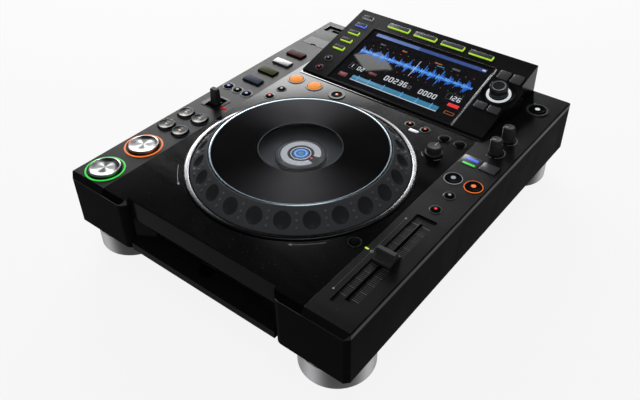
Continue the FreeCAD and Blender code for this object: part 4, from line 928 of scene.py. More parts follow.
@dataclass
class Case:
    """The tub, deck, front moulding and feet, with what is inside and behind."""

    foot_radius: float = 32.7
    foot_height: float = 25.0
    foot_spots: tuple[Point, ...] = ((-123.5, -160.8), (123.5, -160.8), (-123.5, 158.6), (123.5, 158.6))
    foot_seam: float = 22.9
    lip_y: float = -176.6
    lip_size: Point = (124.0, 3.0)
    bar_size: Point = (2.2, 34.0)
    bar_count: int = 15
    bar_first: float = -42.0
    bar_step: float = 6.0
    bar_rows: Point = (-40.0, 50.0)

    def build(self) -> None:
        """Dress the carried-over nodes and build the feet."""
        plain = {"bottom_case": SATIN_CASE, "top_panel": GLOSS_DECK, "front_fascia": GLOSS_FASCIA,
                 "case_screws": SCREW_STEEL, "jog_base": MATTE_INNER, "display_housing": SATIN_CONSOLE,
                 "key_boards": BOARD_GREEN, "main_board": BOARD_GREEN, "power_supply": BOARD_GREEN,
                 "drive_housing": SHEET_STEEL, "rear_socket_plate": MATTE_INNER, "power_button": KEY_SATIN,
                 "card_door": SATIN_CONSOLE, "disc_table": RUBBER, "selector_shaft": SCREW_STEEL}
        for node, finish in plain.items():
            dress(node, finish)
        for number, spot in enumerate(self.foot_spots):
            self.foot(number, spot)
        self.slot_edges()
        self.vents()

    def foot(self, number: int, spot: Point) -> None:
        """Build one turned foot with a dark base ring."""
        # Painted highlight: light bands are painted into the foot's colour in wedge pairs round it.
        metal = Turned(f"foot_metal_{number}", (0.06, 0.06, 0.062), 0.3, centre=(spot[0] * MM, spot[1] * MM, 0.0),
                       lines=1500.0, anisotropy=0.5, fans=4.0, turn=0.2, painted_fan_light=5.5)
        radius = self.foot_radius
        form = Form(ROW)
        form.turned([(0, 0), (radius - 3, 0), (radius - 2.4, 1.2)], RUBBER, spot, 96)
        form.turned([(radius - 2.6, 1.2), (radius - 0.6, 1.2), (radius - 0.15, 1.5), (radius, 2.0),
                     (radius, self.foot_seam - 0.3), (radius - 0.35, self.foot_seam),
                     (radius - 0.35, self.foot_seam + 0.4), (radius, self.foot_seam + 0.7),
                     (radius, self.foot_height), (0, self.foot_height), (0, 1.2)], metal, spot, 96)
        nodes = ["feet"] if number == 0 else []
        form.piece(f"foot_{number + 1}", "root", nodes, "foot_metal")

    def slot_edges(self) -> None:
        """Add the felt lips inside the disc slot."""
        form = Form(ROW)
        felt = Moulded("slot_felt", (0.01, 0.01, 0.01), 0.9, grain=700.0, depth=0.0001, dust=0.8)
        form.block((0.0, self.lip_y), self.lip_size, 43.25, 43.9, felt, 0.4, 0.2)
        form.block((0.0, self.lip_y), self.lip_size, 48.5, 49.15, felt, 0.4, 0.1)
        form.piece("slot_felt_lips", "root")

    def vents(self) -> None:
        """Add raised guard bars on the underside, in two rows."""
        bar = Form(ROW).block((0.0, 0.0), self.bar_size, self.foot_height - 0.45, self.foot_height + 0.2,
                              SATIN_CASE, 1.0, 0.2)
        for number, y in enumerate(self.bar_rows):
            values = {"Count": self.bar_count, "Start": (self.bar_first * MM, y * MM, 0.0),
                      "Step": (self.bar_step * MM, 0.0, 0.0)}
            repeat(REPEATS.grid, f"underside_bars_{number + 1}", "root", bar, SATIN_CASE, values)


@dataclass
class JogWheel:
    """The wheel, its top plate with a window, the trim ring round it and the small display in its middle."""

    centre: Point = JOG_CENTRE
    outer: float = 102.0
    foot: float = 78.0
    edge: float = 81.0
    top_radius: float = 85.1
    top: float = 97.5
    count: int = 24
    ball_radius: float = 14.0
    scoop_radius: float = 8.2
    scoop_ring: float = 93.6
    window: float = 39.0
    plate_radius: float = 84.4
    rows: int = 40
    steps: int = 960
    bore: float = 14.05
    web: float = 76.5
    ledge: float = 94.5
    trim_inner: float = 103.0
    trim_outer: float = 108.0
    head_top: float = 89.0
    dot_shares: tuple[float, ...] = (0.24, 0.5, 0.76)

    def build(self) -> None:
        """Build all of it."""
        self.wheel()
        self.rim_dots()
        self.plate()
        self.trim()
        self.middle()

    def ball_centre(self) -> tuple[float, float]:
        """Return the radius and height of the middle of the ball that presses each scoop."""
        slope = math.hypot(self.top - self.edge, self.outer - self.top_radius)
        out = (self.top - self.edge) / slope
        up = (self.outer - self.top_radius) / slope
        rise = self.top - (self.scoop_ring - self.top_radius) * out / up
        lift = math.sqrt(self.ball_radius ** 2 - self.scoop_radius ** 2)
        return self.scoop_ring + lift * out, rise + lift * up

    def wheel(self) -> None:
        """Build the scooped wheel from a turned shell, its scoops a darker colour as painted shade."""
        outline: list[Point] = [(self.bore, 67.5), (20.0, 67.5), (20.0, self.web), (78.0, self.web),
                                (94.0, self.foot), (self.outer - 0.4, self.foot), (self.outer, self.foot + 0.4),
                                (self.outer, self.edge - 0.4)]
        for i in range(self.rows + 1):
            share = i / self.rows
            outline.append((self.outer - 0.25 + (self.top_radius - self.outer + 0.25) * share,
                            self.edge + (self.top - self.edge) * share))
        outline += [(84.5, self.top), (84.5, self.ledge), (78.0, self.ledge), (78.0, 79.5), (self.bore, 79.5)]
        shell = Form(ROW).turned(outline, RIM_BLACK, self.centre, self.steps, hollow=True)
        model = template(shell, "rim_shell")
        radius, height = self.ball_centre()
        centre = (self.centre[0] * MM, self.centre[1] * MM, 0.0)
        values = {"Rim": model, "Count": self.count, "Centre": centre,
                  "Ball Centre": (radius * MM, 0.0, height * MM), "Ball Radius": self.ball_radius * MM,
                  "Part Material": SCOOP_PAINTED_SHADE.material()}
        made = REPEATS.scoops.grow("scooped_wheel", RIM_BLACK, values)
        forget(model)
        made.data.shade_smooth()
        made.data.set_sharp_from_angle(angle=math.radians(24.0))
        mount(made, "jog", ["jog_wheel"])

    def rim_dots(self) -> None:
        """Set three raised dots in a line up the slope between each two scoops, lighter as painted highlight."""
        slope = math.atan2(self.top - self.edge, self.outer - self.top_radius)
        for number, share in enumerate(self.dot_shares):
            reach = self.outer + (self.top_radius - self.outer) * share
            rise = self.edge + (self.top - self.edge) * share
            place = Place((reach, 0.0, rise), across=(0.0, 1.0, 0.0),
                          along=(-math.cos(slope), 0.0, math.sin(slope)),
                          out=(math.sin(slope), 0.0, math.cos(slope)))
            form = Form(place).turned([(1.5, -0.4), (1.5, 0.2), (1.25, 0.6), (0.7, 0.78), (0.0, 0.82)], DOT_PAINTED_HIGHLIGHT,
                                      steps=14)
            values = {"Count": self.count, "Centre": (self.centre[0] * MM, self.centre[1] * MM, 0.0),
                      "First Turn": math.pi / self.count}
            repeat(REPEATS.round, f"rim_dots_{number + 1}", "jog", form, DOT_PAINTED_HIGHLIGHT, values)

    def plate(self) -> None:
        """Build the faintly glowing edge ring, a painted highlight, the gloss top plate and the window."""
        centre = (self.centre[0] * MM, self.centre[1] * MM, 0.0)
        # Painted highlight: the plate's colour and metal share are painted up in fanned wedges; the bevel's colour a
        # little.
        gloss = Turned("jog_plate_gloss", (0.003, 0.003, 0.0033), 0.2, 0.002, centre=centre, metallic=0.0,
                       lines=2600.0, depth=0.000002, anisotropy=0.85, turn=1.85, painted_fan_light=14.0, painted_fan_metal=0.24)
        bevel = Turned("jog_plate_bevel", (0.36, 0.44, 0.5), 0.2, centre=centre, lines=1800.0, depth=0.000003,
                       anisotropy=0.6, painted_fan_light=0.6)
        edge = self.plate_radius
        inner = self.window
        form = Form(ROW)
        form.turned([(inner, self.ledge), (81.6, self.ledge), (81.6, 97.1), (81.3, 97.4), (inner + 0.3, 97.4),
                     (inner, 97.2)], gloss, self.centre, 160, hollow=True)
        form.turned([(82.4, self.ledge), (edge, self.ledge), (edge, 96.6), (edge - 0.2, 96.8), (82.9, 97.45),
                     (82.4, 97.48)], bevel, self.centre, 160, hollow=True)
        # Painted highlight: the edge band's faint glow stands in for the bevel's highlight.
        form.band(81.65, 82.3, 94.6, 97.3, PAINTED_EDGE_GLOW, self.centre, 160)
        form.band(inner - 0.3, inner, 96.9, 97.42, DARK_RING, self.centre, 120)
        form.piece("jog_top_plate", "jog", ["jog_plate"], "jog_gloss")
        window = Form(ROW)
        window.turned([(0, 95.9), (inner - 0.6, 95.9), (inner - 0.6, 97.0), (inner - 0.8, 97.2), (0, 97.2)], CLEAR,
                      self.centre, 96)
        window.piece("jog_window", "jog", (), "jog_gloss")

    def trim(self) -> None:
        """Build the ring that lies round the wheel, dark metal with painted highlight wedges that make it bright."""
        centre = (self.centre[0] * MM, self.centre[1] * MM, 0.0)
        # Painted highlight: the dark colour is painted many times lighter in fanned wedges.
        bright = Turned("trim_painted_fans", (0.03, 0.03, 0.031), 0.24, centre=centre, lines=900.0, depth=0.0000004,
                        anisotropy=0.5, turn=-0.9, painted_fan_light=14.0)
        form = Form(ROW)
        inner, outer = self.trim_inner, self.trim_outer
        form.turned([(inner, DECK_Z), (outer, DECK_Z), (outer, 80.5), (107.6, 81.0), (107.0, 81.35), (106.2, 81.55),
                     (104.0, 81.6), (103.4, 81.5), (inner, 81.2)], bright, self.centre, 256, hollow=True)
        form.piece("bright_trim", "root", ["jog_trim_ring"], "bright_trim")

    def middle(self) -> None:
        """Build the small display on the fixed post."""
        form = Form(ROW)
        at = self.centre
        low = self.head_top
        form.disc(24.0, low, 89.3, WELL_BLACK, at, 72)
        form.band(20.4, 20.8, 89.3, 89.5, INK_DIM, at, 72)
        form.band(9.0, 9.5, 89.3, 89.6, INK_WHITE, at, 48)
        form.disc(7.6, 89.3, 89.55, INK_NAVY, at, 48)
        form.band(4.6, 6.2, 89.55, 89.7, INK_PALE, at, 48)
        form.disc(2.6, 89.55, 89.7, INK_CYAN, at, 32)
        form.disc(0.9, 89.3, 89.7, INK_RED, (at[0] + 12.3, at[1]), 24)
        form.piece("middle_display", "root")
        grey = Lit("middle_grey", (0.25, 0.25, 0.26), 0.3, glow=(0.35, 0.36, 0.38), strength=0.4)
        arc = Form(Place((at[0], at[1], 0.0)))
        arc.arc((0.0, 0.0), 15.6, 18.0, 342.0, 6.2, 89.3, 89.6, grey, 56)
        arc.piece("middle_display_arc", "root")


class Cap(Enum):
    """How the top of a round key is made."""

    SPUN = "spun metal dish"
    ICON = "dark gloss cap with a lit sign"
    LAMP = "lit cap"
    DOT = "dark cap with a lit dot"
    PLAIN = "dark gloss cap"


@dataclass(frozen=True)
class RoundKey:
    """A round key, with the collar round it."""

    node: str
    at: Point
    radius: float
    top: float
    cap: Cap
    light: Finish = GLOW_WHITE
    collar: float = 0.0
    collar_finish: Finish = KEY_GLOSS
    icon: int = 0
    gap: float = 0.45
    lit_from: float = 16.8

    def build(self) -> None:
        """Build the cap on its body and the collar on the case."""
        top = self.top
        radius = self.radius
        edge = min(0.9, radius * 0.12)
        skin: Finish = self.light if self.cap is Cap.LAMP else DOME_BLACK
        centre = (self.at[0] * MM, self.at[1] * MM, 0.0)
        # Painted highlight: spun and icon caps get lighter wedges painted into their colour.
        if self.cap is Cap.SPUN:
            skin = Turned(f"{self.node}_spun", (0.17, 0.17, 0.173), 0.28, centre=centre, lines=2600.0,
                          anisotropy=0.7, fans=4.0, turn=0.8, painted_fan_light=2.8)
        if self.cap is Cap.ICON:
            skin = Turned(f"{self.node}_turned", (0.012, 0.012, 0.0125), 0.2, 0.05, centre=centre, metallic=0.5,
                          anisotropy=0.8, turn=2.6, painted_fan_light=11.0)
        dip = 0.5 if self.cap is Cap.SPUN else 0.15
        outline: list[Point] = [(0, FLANGE_LOW), (radius + KEY_FLANGE, FLANGE_LOW),
                                (radius + KEY_FLANGE, FLANGE_HIGH), (radius, FLANGE_HIGH)]
        outline += [(radius - inset, height) for inset, height in soft_edge(76.0, top, edge)]
        if self.cap in (Cap.PLAIN, Cap.LAMP):
            outline += [(radius * 0.7, top + 0.1), (radius * 0.4, top + 0.3), (0, top + 0.36)]
        else:
            outline += [(radius * 0.86, top - 0.05), (radius * 0.8, top - dip), (radius * 0.5, top - dip - 0.05),
                        (0, top - dip - 0.08)]
        form = Form(ROW).turned(outline, skin, self.at, 72)
        level = top - dip
        if self.cap is Cap.ICON:
            self.sign(form, level)
        if self.cap is Cap.DOT:
            form.turned([(0, level - 0.2), (radius * 0.3, level - 0.2), (radius * 0.3, level + 0.05),
                         (0, level + 0.1)], self.light, self.at, 24)
        slot = "spun_metal" if self.cap is Cap.SPUN else "orange_cap" if self.cap is Cap.LAMP else "key_gloss"
        form.piece(f"{self.node}_cap", self.node, [self.node], slot)
        if self.collar:
            self.build_collar()

    def sign(self, form: Form, level: float) -> None:
        """Add the pair of arrows on a search key, or an arrow and a bar on a track key."""
        x, y = self.at
        way = 1.0 if self.icon > 0 else -1.0
        size = 1.1
        low, high = level - 0.1, level + 0.12
        form.outline([(x - way * 1.5, y - size), (x + way * 0.1, y), (x - way * 1.5, y + size)], low, high,
                     self.light)
        if abs(self.icon) == 2:
            form.outline([(x + way * 0.1, y - size), (x + way * 1.7, y), (x + way * 0.1, y + size)], low, high,
                         self.light)
        else:
            form.block((x + way * 0.9, y), (0.7, size * 2), low, high, self.light, 0.1, 0.05)

    def build_collar(self) -> None:
        """Build the ring round the key, with a black gap inside a lit one."""
        inner = self.radius + self.gap
        outer = self.collar
        form = Form(ROW)
        if self.cap is Cap.SPUN:
            rim = self.lit_from
            form.turned([(inner, 79.2), (rim, 79.9), (rim, 80.3), (inner, 80.3)], WELL_BLACK, self.at, 72,
                        hollow=True)
            inner = rim
        high = 81.0 if outer - inner > 2.0 else 80.7
        outline = [(inner, 79.2), (outer, 79.9), (outer, 80.2), (outer - 0.35, high), (inner + 0.35, high),
                   (inner, high - 0.35)]
        form.turned(outline, self.collar_finish, self.at, 72, hollow=True)
        form.piece(f"{self.node}_collar", "root")


ROUND_KEYS: tuple[RoundKey, ...] = (
    RoundKey("play_key", (STRIP_X, -170.7), 14.7, 82.9, Cap.SPUN, GLOW_GREEN, 18.4, GLOW_GREEN),
    RoundKey("cue_key", (STRIP_X, -125.2), 14.7, 82.9, Cap.SPUN, GLOW_ORANGE, 18.5, GLOW_ORANGE),
    RoundKey("search_back_key", (STRIP_X - 9.7, -87.5), 8.5, 82.2, Cap.ICON, GLOW_WARM, 9.6, icon=-2),
    RoundKey("search_forward_key", (STRIP_X + 9.7, -87.5), 8.5, 82.2, Cap.ICON, GLOW_WARM, 9.6, icon=2),
    RoundKey("track_back_key", (STRIP_X - 9.7, -61.0), 8.5, 82.2, Cap.ICON, GLOW_WARM, 9.6, icon=-1),
    RoundKey("track_forward_key", (STRIP_X + 9.7, -61.0), 8.5, 82.2, Cap.ICON, GLOW_WARM, 9.6, icon=1),
    RoundKey("loop_in_key", (-99.9, 59.6), 7.4, 81.6, Cap.LAMP, CAP_ORANGE, 9.7, KEY_GLOSS),
    RoundKey("loop_out_key", (-75.0, 59.6), 7.4, 81.6, Cap.LAMP, CAP_ORANGE, 9.7, KEY_GLOSS),
    RoundKey("reloop_key", (-44.9, 59.9), 5.2, 81.4, Cap.DOT, GLOW_ORANGE, 9.2, DARK_RING),
    RoundKey("delete_key", (87.0, 58.6), 4.6, 81.6, Cap.PLAIN, GLOW_WHITE, 6.4, DARK_RING),
    RoundKey("memory_key", (103.8, 58.6), 4.6, 81.6, Cap.PLAIN, GLOW_ORANGE, 6.4, DARK_RING),
    RoundKey("eject_key", (136.4, 160.3), 8.4, 81.8, Cap.DOT, GLOW_WHITE, 11.6, KEY_GLOSS),
    RoundKey("sync_key", (125.0, 9.5), 7.6, 81.4, Cap.DOT, GLOW_SOFT, 8.7, GLOW_SOFT),
    RoundKey("master_key", (145.5, 9.5), 7.6, 81.4, Cap.DOT, GLOW_ORANGE, 8.7, GLOW_ORANGE),
    RoundKey("tempo_reset_key", (103.8, -112.0), 4.4, 81.4, Cap.PLAIN, GLOW_WHITE, 6.4, DARK_RING),
)


@dataclass
class SmallCaps:
    """The eleven smallest caps, each with its own light, and their collars."""

    deck_caps: tuple[tuple[Point, float, Finish, Finish], ...] = (
        ((STRIP_X - 12.9, 4.1), 5.2, GLOW_BLUE, KEY_GLOSS),
        ((STRIP_X, 4.1), 4.8, GLOW_SOFT, KEY_GLOSS),
        ((STRIP_X + 12.9, 4.1), 5.2, GLOW_BLUE, KEY_GLOSS),
        ((-99.5, 34.1), 4.4, GLOW_SOFT, DARK_RING),
        ((-100.0, 15.6), 4.4, GLOW_RED, KEY_GLOSS),
        ((46.4, 60.2), 3.8, GLOW_ORANGE, KEY_GLOSS),
        ((64.0, 60.2), 3.8, GLOW_ORANGE, KEY_GLOSS),
        ((134.8, -13.9), 4.3, GLOW_SOFT, KEY_GLOSS),
        ((134.8, -37.3), 4.3, GLOW_RED, KEY_GLOSS),
    )
    console_caps: tuple[tuple[Point, float, Finish, Finish], ...] = (
        ((-91.4, 27.6), 3.2, GLOW_SOFT, KEY_GLOSS),
        ((-91.6, 10.6), 3.0, GLOW_RED, KEY_GLOSS),
    )

    def build(self) -> None:
        """Build the caps of the deck and of the console as two pieces."""
        for place, caps, low, name in ((DECK, self.deck_caps, -5.0, "deck_small_caps"),
                                       (CONSOLE, self.console_caps, -4.5, "console_small_caps")):
            form = Form(place)
            for at, radius, light, collar in caps:
                turns = [math.radians(angle) for angle in (0, 15, 30, 45, 60, 75, 90)]
                dome = [(radius * math.cos(turn), 0.7 + 0.8 * math.sin(turn)) for turn in turns]
                form.turned([(0, low), (radius, low), *dome], DOME_BLACK, at, 40)
                form.turned([(0, 1.3), (radius * 0.34, 1.3), (radius * 0.3, 1.52), (0, 1.56)], light, at, 24)
                form.turned([(radius + 0.15, -0.1), (radius + 1.5, -0.1), (radius + 1.5, 0.25),
                             (radius + 1.1, 0.5), (radius + 0.35, 0.5), (radius + 0.15, 0.3)], collar, at, 40,
                            hollow=True)
            form.piece(name, "root", ["small_key_caps"] if place is DECK else [], "small_caps")


@dataclass
class FlatKeys:
    """The rectangular keys of the deck and the console, with their lit edges."""

    pad_size: Point = (22.4, 10.6)
    pads: tuple[tuple[str, Finish, Optional[Finish]], ...] = (("hot_cue_pad_a", PAD_BLUE, None),
                                                              ("hot_cue_pad_b", PAD_OLIVE, GLOW_YELLOW),
                                                              ("hot_cue_pad_c", PAD_GREY, None),
                                                              ("hot_cue_pad_d", PAD_RED, None))
    source_lights: tuple[Finish, ...] = (GLOW_LIME, GLOW_LIME, GLOW_LIME, GLOW_BLUE, GLOW_SOFT)

    def build(self) -> None:
        """Build every rectangular key."""
        for number, (node, finish, light) in enumerate(self.pads):
            self.key(DECK, node, (STRIP_X, 29.0 + 24.4 * number), self.pad_size, 2.0, finish, light,
                     light is not None, -6.4)
        self.key(DECK, "jog_mode_key", (144.2, 41.6), (16.0, 12.6), 0.9, KEY_GLOSS, None, False, -6.4)
        for number, light in enumerate(self.source_lights):
            self.key(CONSOLE, f"source_key_{number + 1}", (-91.4, 48.1 + 14.6 * number), (14.2, 6.2), 1.2,
                     KEY_SATIN, light, False, -5.4)
        for number in range(4):
            self.key(CONSOLE, f"menu_key_{number + 1}", (-48.4 + 35.0 * number, 106.5), (28.0, 7.2), 1.2,
                     KEY_GLOSS, GLOW_LIME, False, -5.4)
        for node, side, t, length in (("page_back_key", -1, 88.3, 13.0), ("page_tag_key", 1, 88.3, 13.0),
                                      ("page_filter_key", -1, 38.6, 9.6), ("page_link_key", 1, 38.6, 9.6)):
            self.key(CONSOLE, node, (100.6 + side * 7.4, t), (12.4, length), 1.2, KEY_GLOSS, None, False, -5.4)

    @staticmethod
    def key(place: Place, node: str, at: Point, size: Point, top: float, finish: Finish, light: Optional[Finish],
            all_round: bool, low: float) -> None:
        """Build one key.

        Args:
            place: The deck or the console.
            node: The CAD node and body.
            at: The key's middle.
            size: Its two sides.
            top: How far it stands out.
            finish: The finish of its body.
            light: The light of its edge, if it has one.
            all_round: True where the light runs all round, False where it is along the front and right.
            low: How far down it reaches.
        """
        form = Form(place)
        form.block(at, (size[0] + 1.6, size[1] + 1.6), low, low + 1.8, finish, 0.8, 0.1)
        form.block(at, size, low + 1.0, top, finish, 1.0, 0.45)
        if light is not None and all_round:
            loops = [rounded(size[0] - inset, size[1] - inset, 0.9, height, at) for inset, height in
                     ((1.0, top - 0.2), (1.0, top + 0.0), (2.2, top + 0.0), (2.2, top - 0.2))]
            form.stack(loops, light, closed=False)
        elif light is not None:
            x, y = at
            half_x, half_y = size[0] / 2, size[1] / 2
            form.block((x, y - half_y + 0.45), (size[0] - 0.6, 0.9), low + 2.0, top + 0.05, light, 0.35, 0.15)
            form.block((x + half_x - 0.45, y - 0.1), (0.9, size[1] - 1.2), low + 2.0, top + 0.05, light, 0.35, 0.15)
        slots = {"hot_cue_pad_a": "pad_blue", "hot_cue_pad_b": "pad_green", "hot_cue_pad_c": "pad_grey",
                 "hot_cue_pad_d": "pad_red"}
        form.piece(f"{node}_cap", node, [node], slots.get(node, "key_gloss"))


@dataclass
class Knobs:
    """The three turning knobs of the deck and the selector of the console."""

    tall: tuple[tuple[str, float], ...] = (("jog_adjust_knob", 93.5), ("speed_adjust_knob", 68.0))
    tall_x: float = 136.2
    tall_radius: float = 6.1
    tall_top: float = 95.5

    def build(self) -> None:
        """Build every knob, and the scales round them."""
        for node, y in self.tall:
            self.ribbed(node, (self.tall_x, y), self.tall_radius, self.tall_top, 0.3, 18, (-0.8, -0.6))
        self.ribbed("brake_knob", (90.7, 32.2), 7.2, 88.6, 1.3, 22, (0.0, 1.0))
        self.selector()

    @staticmethod
    def ribbed(node: str, at: Point, radius: float, top: float, skirt: float, ribs: int, way: Point) -> None:
        """Build a knob with ribs round its side and a white pointer.

        Args:
            node: The CAD node and body.
            at: Its middle.
            radius: The radius over the ribs at the foot.
            top: The height of its top.
            skirt: How far the skirt stands out.
            ribs: How many ribs it has.
            way: The direction of the pointer.
        """
        core = radius - 0.55
        form = Form(ROW)
        form.turned([(0, 73.0), (3.0, 73.0), (3.0, 80.5), (radius + skirt, 80.5), (radius + skirt, 81.6),
                     (radius + skirt - 0.3, 81.9), (core, 82.1), (core - 0.35, top - 0.9),
                     (core - 0.7, top - 0.25), (core - 1.3, top), (core - 1.7, top - 0.12), (0, top - 0.2)],
                    KNOB_BLACK, at, 64)
        a = Vector(way).normalized()
        start = (at[0] + a[0] * core * 0.15, at[1] + a[1] * core * 0.15)
        end = (at[0] + a[0] * (core - 1.2), at[1] + a[1] * (core - 1.2))
        form.line(start, end, 0.9, top - 0.3, top - 0.02, PRINT_WHITE)
        form.line(end, (at[0] + a[0] * (radius - 0.1), at[1] + a[1] * (radius - 0.1)), 0.9, 82.2, top - 0.6,
                  PRINT_WHITE)
        form.piece(f"{node}_body", node, [node], "knob_black")
        rib = Form(Place((core - 0.3, 0.0, 0.0)))
        rib.stack([rounded(0.9 + lean, 0.85, 0.4, height, (0.0, 0.0), 3) for lean, height in
                   ((0.8, 82.0), (0.75, 83.0), (0.1, top - 1.0), (-0.4, top - 0.5))], KNOB_BLACK)
        values = {"Count": ribs, "Centre": (at[0] * MM, at[1] * MM, 0.0), "First Turn": 0.1}
        repeat(REPEATS.round, f"{node}_ribs", node, rib, KNOB_BLACK, values)

    @staticmethod
    def selector() -> None:
        """Build the selector's knob with its notched waist, and the lit ring in its dish."""
        at = (100.6, 62.6)
        gloss = Moulded("selector_gloss", (0.03, 0.03, 0.032), 0.14, depth=0.000004, coat=0.6, smear=0.03)
        form = Form(CONSOLE)
        form.turned([(3.05, 0.7), (8.9, 0.7), (9.3, 1.1), (9.3, 1.7), (8.5, 2.0), (8.5, 3.6), (9.3, 4.2),
                     (9.3, 9.4), (9.1, 10.1), (8.6, 10.6), (8.0, 10.7), (7.2, 10.45), (3.0, 10.2), (0.0, 10.2),
                     (0.0, 8.8), (3.05, 8.8)], gloss, at, 72, hollow=True)
        form.turned([(6.0, 10.25), (7.4, 10.35), (7.4, 10.62), (6.0, 10.5)], BRIGHT_EDGE, at, 48, hollow=True)
        form.piece("selector_knob_body", "selector_knob", ["selector_knob"], "knob_black")
        notch = Form(Place((8.95, 0.0, 0.0))).block((0.0, 0.0), (0.65, 1.3), 4.4, 9.2, gloss, 0.25, 0.2)
        model = template(notch, "selector_notch")
        values = {"Item": model, "Count": 26, "Centre": (0.0, 0.0, 0.0), "First Turn": 0.0}
        ribs = REPEATS.round.grow("selector_knob_ribs", gloss, values)
        forget(model)
        ribs.data.transform(on_console(*at, 0.0))
        mount(ribs, "selector_knob", ())
        dish = Form(CONSOLE)
        dish.turned([(14.2, -1.45), (17.6, -0.15), (18.3, -0.05), (18.3, 0.2), (17.7, 0.25), (14.2, -1.2)],
                    GLOSS_FASCIA, at, 72, hollow=True)
        dish.turned([(9.9, -1.5), (12.6, -1.5), (12.6, -0.7), (12.3, -0.45), (10.2, -0.45), (9.9, -0.7)],
                    GLOW_WHITE, at, 72, hollow=True)
        dish.turned([(12.7, -1.5), (14.2, -1.5), (14.2, -1.15), (12.7, -1.2)], WELL_BLACK, at, 72, hollow=True)
        dish.piece("selector_dish_rings", "root")


@dataclass
class Slider:
    """The tempo slider's cap, its well and the scale beside it."""

    x: float = 135.2
    y: float = -112.0
    reach: float = 50.0
    well: float = 78.6
    dots_x: float = 120.8

    def build(self) -> None:
        """Build the cap, the well's lining and the scale."""
        self.cap()
        self.lining()
        self.scale()

    def cap(self) -> None:
        """Build the saddle with its white line across the crest."""
        rows = [(-8.2, 79.2), (8.2, 79.2), (8.2, 81.4), (7.9, 81.8), (6.6, 82.1), (5.4, 82.7), (4.2, 83.8),
                (3.3, 85.4), (2.75, 87.2), (2.5, 88.6), (2.2, 89.2), (1.8, 89.5), (-1.8, 89.5), (-2.2, 89.2),
                (-2.5, 88.6), (-2.75, 87.2), (-3.3, 85.4), (-4.2, 83.8), (-5.4, 82.7), (-6.6, 82.1), (-7.9, 81.8),
                (-8.2, 81.4)]
        loops = []
        for across, shrink in ((-8.5, 0.35), (-8.2, 0.0), (8.2, 0.0), (8.5, 0.35)):
            loops.append([Vector((self.x + across, self.y + v * (1 - shrink * 0.06),
                                  h - shrink * (0.8 if h > 81 else 0.0))) for v, h in rows])
        form = Form(ROW).stack(loops, KNOB_BLACK)
        form.block((self.x, self.y), (16.2, 0.9), 89.3, 89.49, PRINT_WHITE, 0.2, 0.05)
        form.outline([(self.x - 0.8, self.y - 2.6), (self.x + 0.8, self.y - 2.6), (self.x + 0.8, self.y + 2.6),
                      (self.x - 0.8, self.y + 2.6)], 64.0, 80.0, SCREW_STEEL)
        for side in (-1, 1):
            for number in range(3):
                form.block((self.x, self.y + side * (3.6 + number * 1.25)), (15.4, 0.35), 82.0,
                           (85.0, 83.5, 82.6)[number], KNOB_BLACK, 0.1, 0.1)
        form.piece("slider_cap", "tempo_slider", ["tempo_slider"], "knob_black")

    def lining(self) -> None:
        """Build the slot's edges."""
        form = Form(ROW)
        for side in (-1, 1):
            form.block((self.x + side * 1.85, self.y), (0.7, 107.0), self.well, self.well + 0.35, WELL_BLACK, 0.2,
                       0.1)
        form.piece("slider_slot_edges", "root")

    def scale(self) -> None:
        """Set the scale's lines on the well's floor and the dots beside it."""
        well = self.well
        rungs = ((48, 2.0, 0.3, PRINT_DIM), (11, 10.0, 0.55, PRINT_GREY))
        for across in (-5.2, 5.2):
            for count, step, thick, finish in rungs:
                bar = Form(ROW).outline([(-4.0, 0.0), (4.0, 0.0), (4.0, thick), (-4.0, thick)], well, well + 0.07,
                                        finish)
                values = {"Count": count, "Start": ((self.x + across) * MM, (self.y - self.reach) * MM, 0.0),
                          "Step": (0.0, step * MM, 0.0)}
                side = "left" if across < 0 else "right"
                repeat(REPEATS.grid, f"scale_rungs_{side}_{count}", "root", bar, finish, values)
        dot = Form(DECK).disc(0.32, 0, 0.06, PRINT_GREY, steps=8)
        values = {"Count": 51, "Start": (self.dots_x * MM, (self.y - self.reach) * MM, 0.0),
                  "Step": (0.0, 2.0 * MM, 0.0)}
        repeat(REPEATS.grid, "scale_dots", "root", dot, PRINT_GREY, values)
        marks = Form(DECK)
        for y in (self.y - self.reach, self.y + self.reach):
            marks.disc(0.9, 0, 0.07, PRINT_WHITE, (self.dots_x, y), 20)
        marks.band(0.9, 1.4, 0, 0.07, PRINT_WHITE, (self.dots_x, self.y), 24)
        marks.block((115.8, -111.4), (3.6, 1.7), 0.0, 0.3, GLOW_LIME, 0.4, 0.1)
        marks.piece("scale_marks", "root")


@dataclass
class Lever:
    """The direction lever in its framed slot."""

    x: float = STRIP_X
    y: float = -28.0

    def build(self) -> None:
        """Build the frame, the drum and the blade."""
        frame_form = Form(ROW)
        outer = [rounded(23.0, 23.0, 3.0, height, (self.x - 1.0, self.y + 0.6)) for height in (79.95, 80.35)]
        inner = [rounded(14.6, 20.0, 1.6, height, (self.x, self.y)) for height in (80.5, 79.95)]
        frame_form.stack([*outer, *inner], KEY_SATIN, closed=False)
        frame_form.piece("lever_frame", "root")
        form = Form(ROW)
        steps = 40
        drum = []
        for across in (-6.3, -6.0, 6.0, 6.3):
            radius = 7.4 if abs(across) < 6.2 else 7.1
            turns = [2.0 * math.pi * i / steps for i in range(steps)]
            drum.append([Vector((self.x + across, self.y + radius * math.cos(a), 74.0 + radius * math.sin(a)))
                         for a in turns])
        form.stack(drum, WELL_BLACK)
        loops = []
        for height, wide, deep in ((78.0, 9.4, 8.2), (84.0, 9.2, 7.6), (90.0, 9.0, 6.9), (95.6, 8.8, 6.2),
                                   (96.8, 8.4, 5.7), (97.3, 7.4, 4.7)):
            loops.append(rounded(wide, deep, 1.3, height, (self.x, self.y)))
        form.stack(loops, KNOB_BLACK)
        for height in (85.5, 88.0, 90.5, 93.0):
            form.block((self.x, self.y - 3.4 + (height - 85.5) * 0.05), (7.4, 0.7), height, height + 0.8,
                       KNOB_BLACK, 0.2, 0.2)
        form.piece("lever_body", "direction_lever", ["direction_lever"], "knob_black")


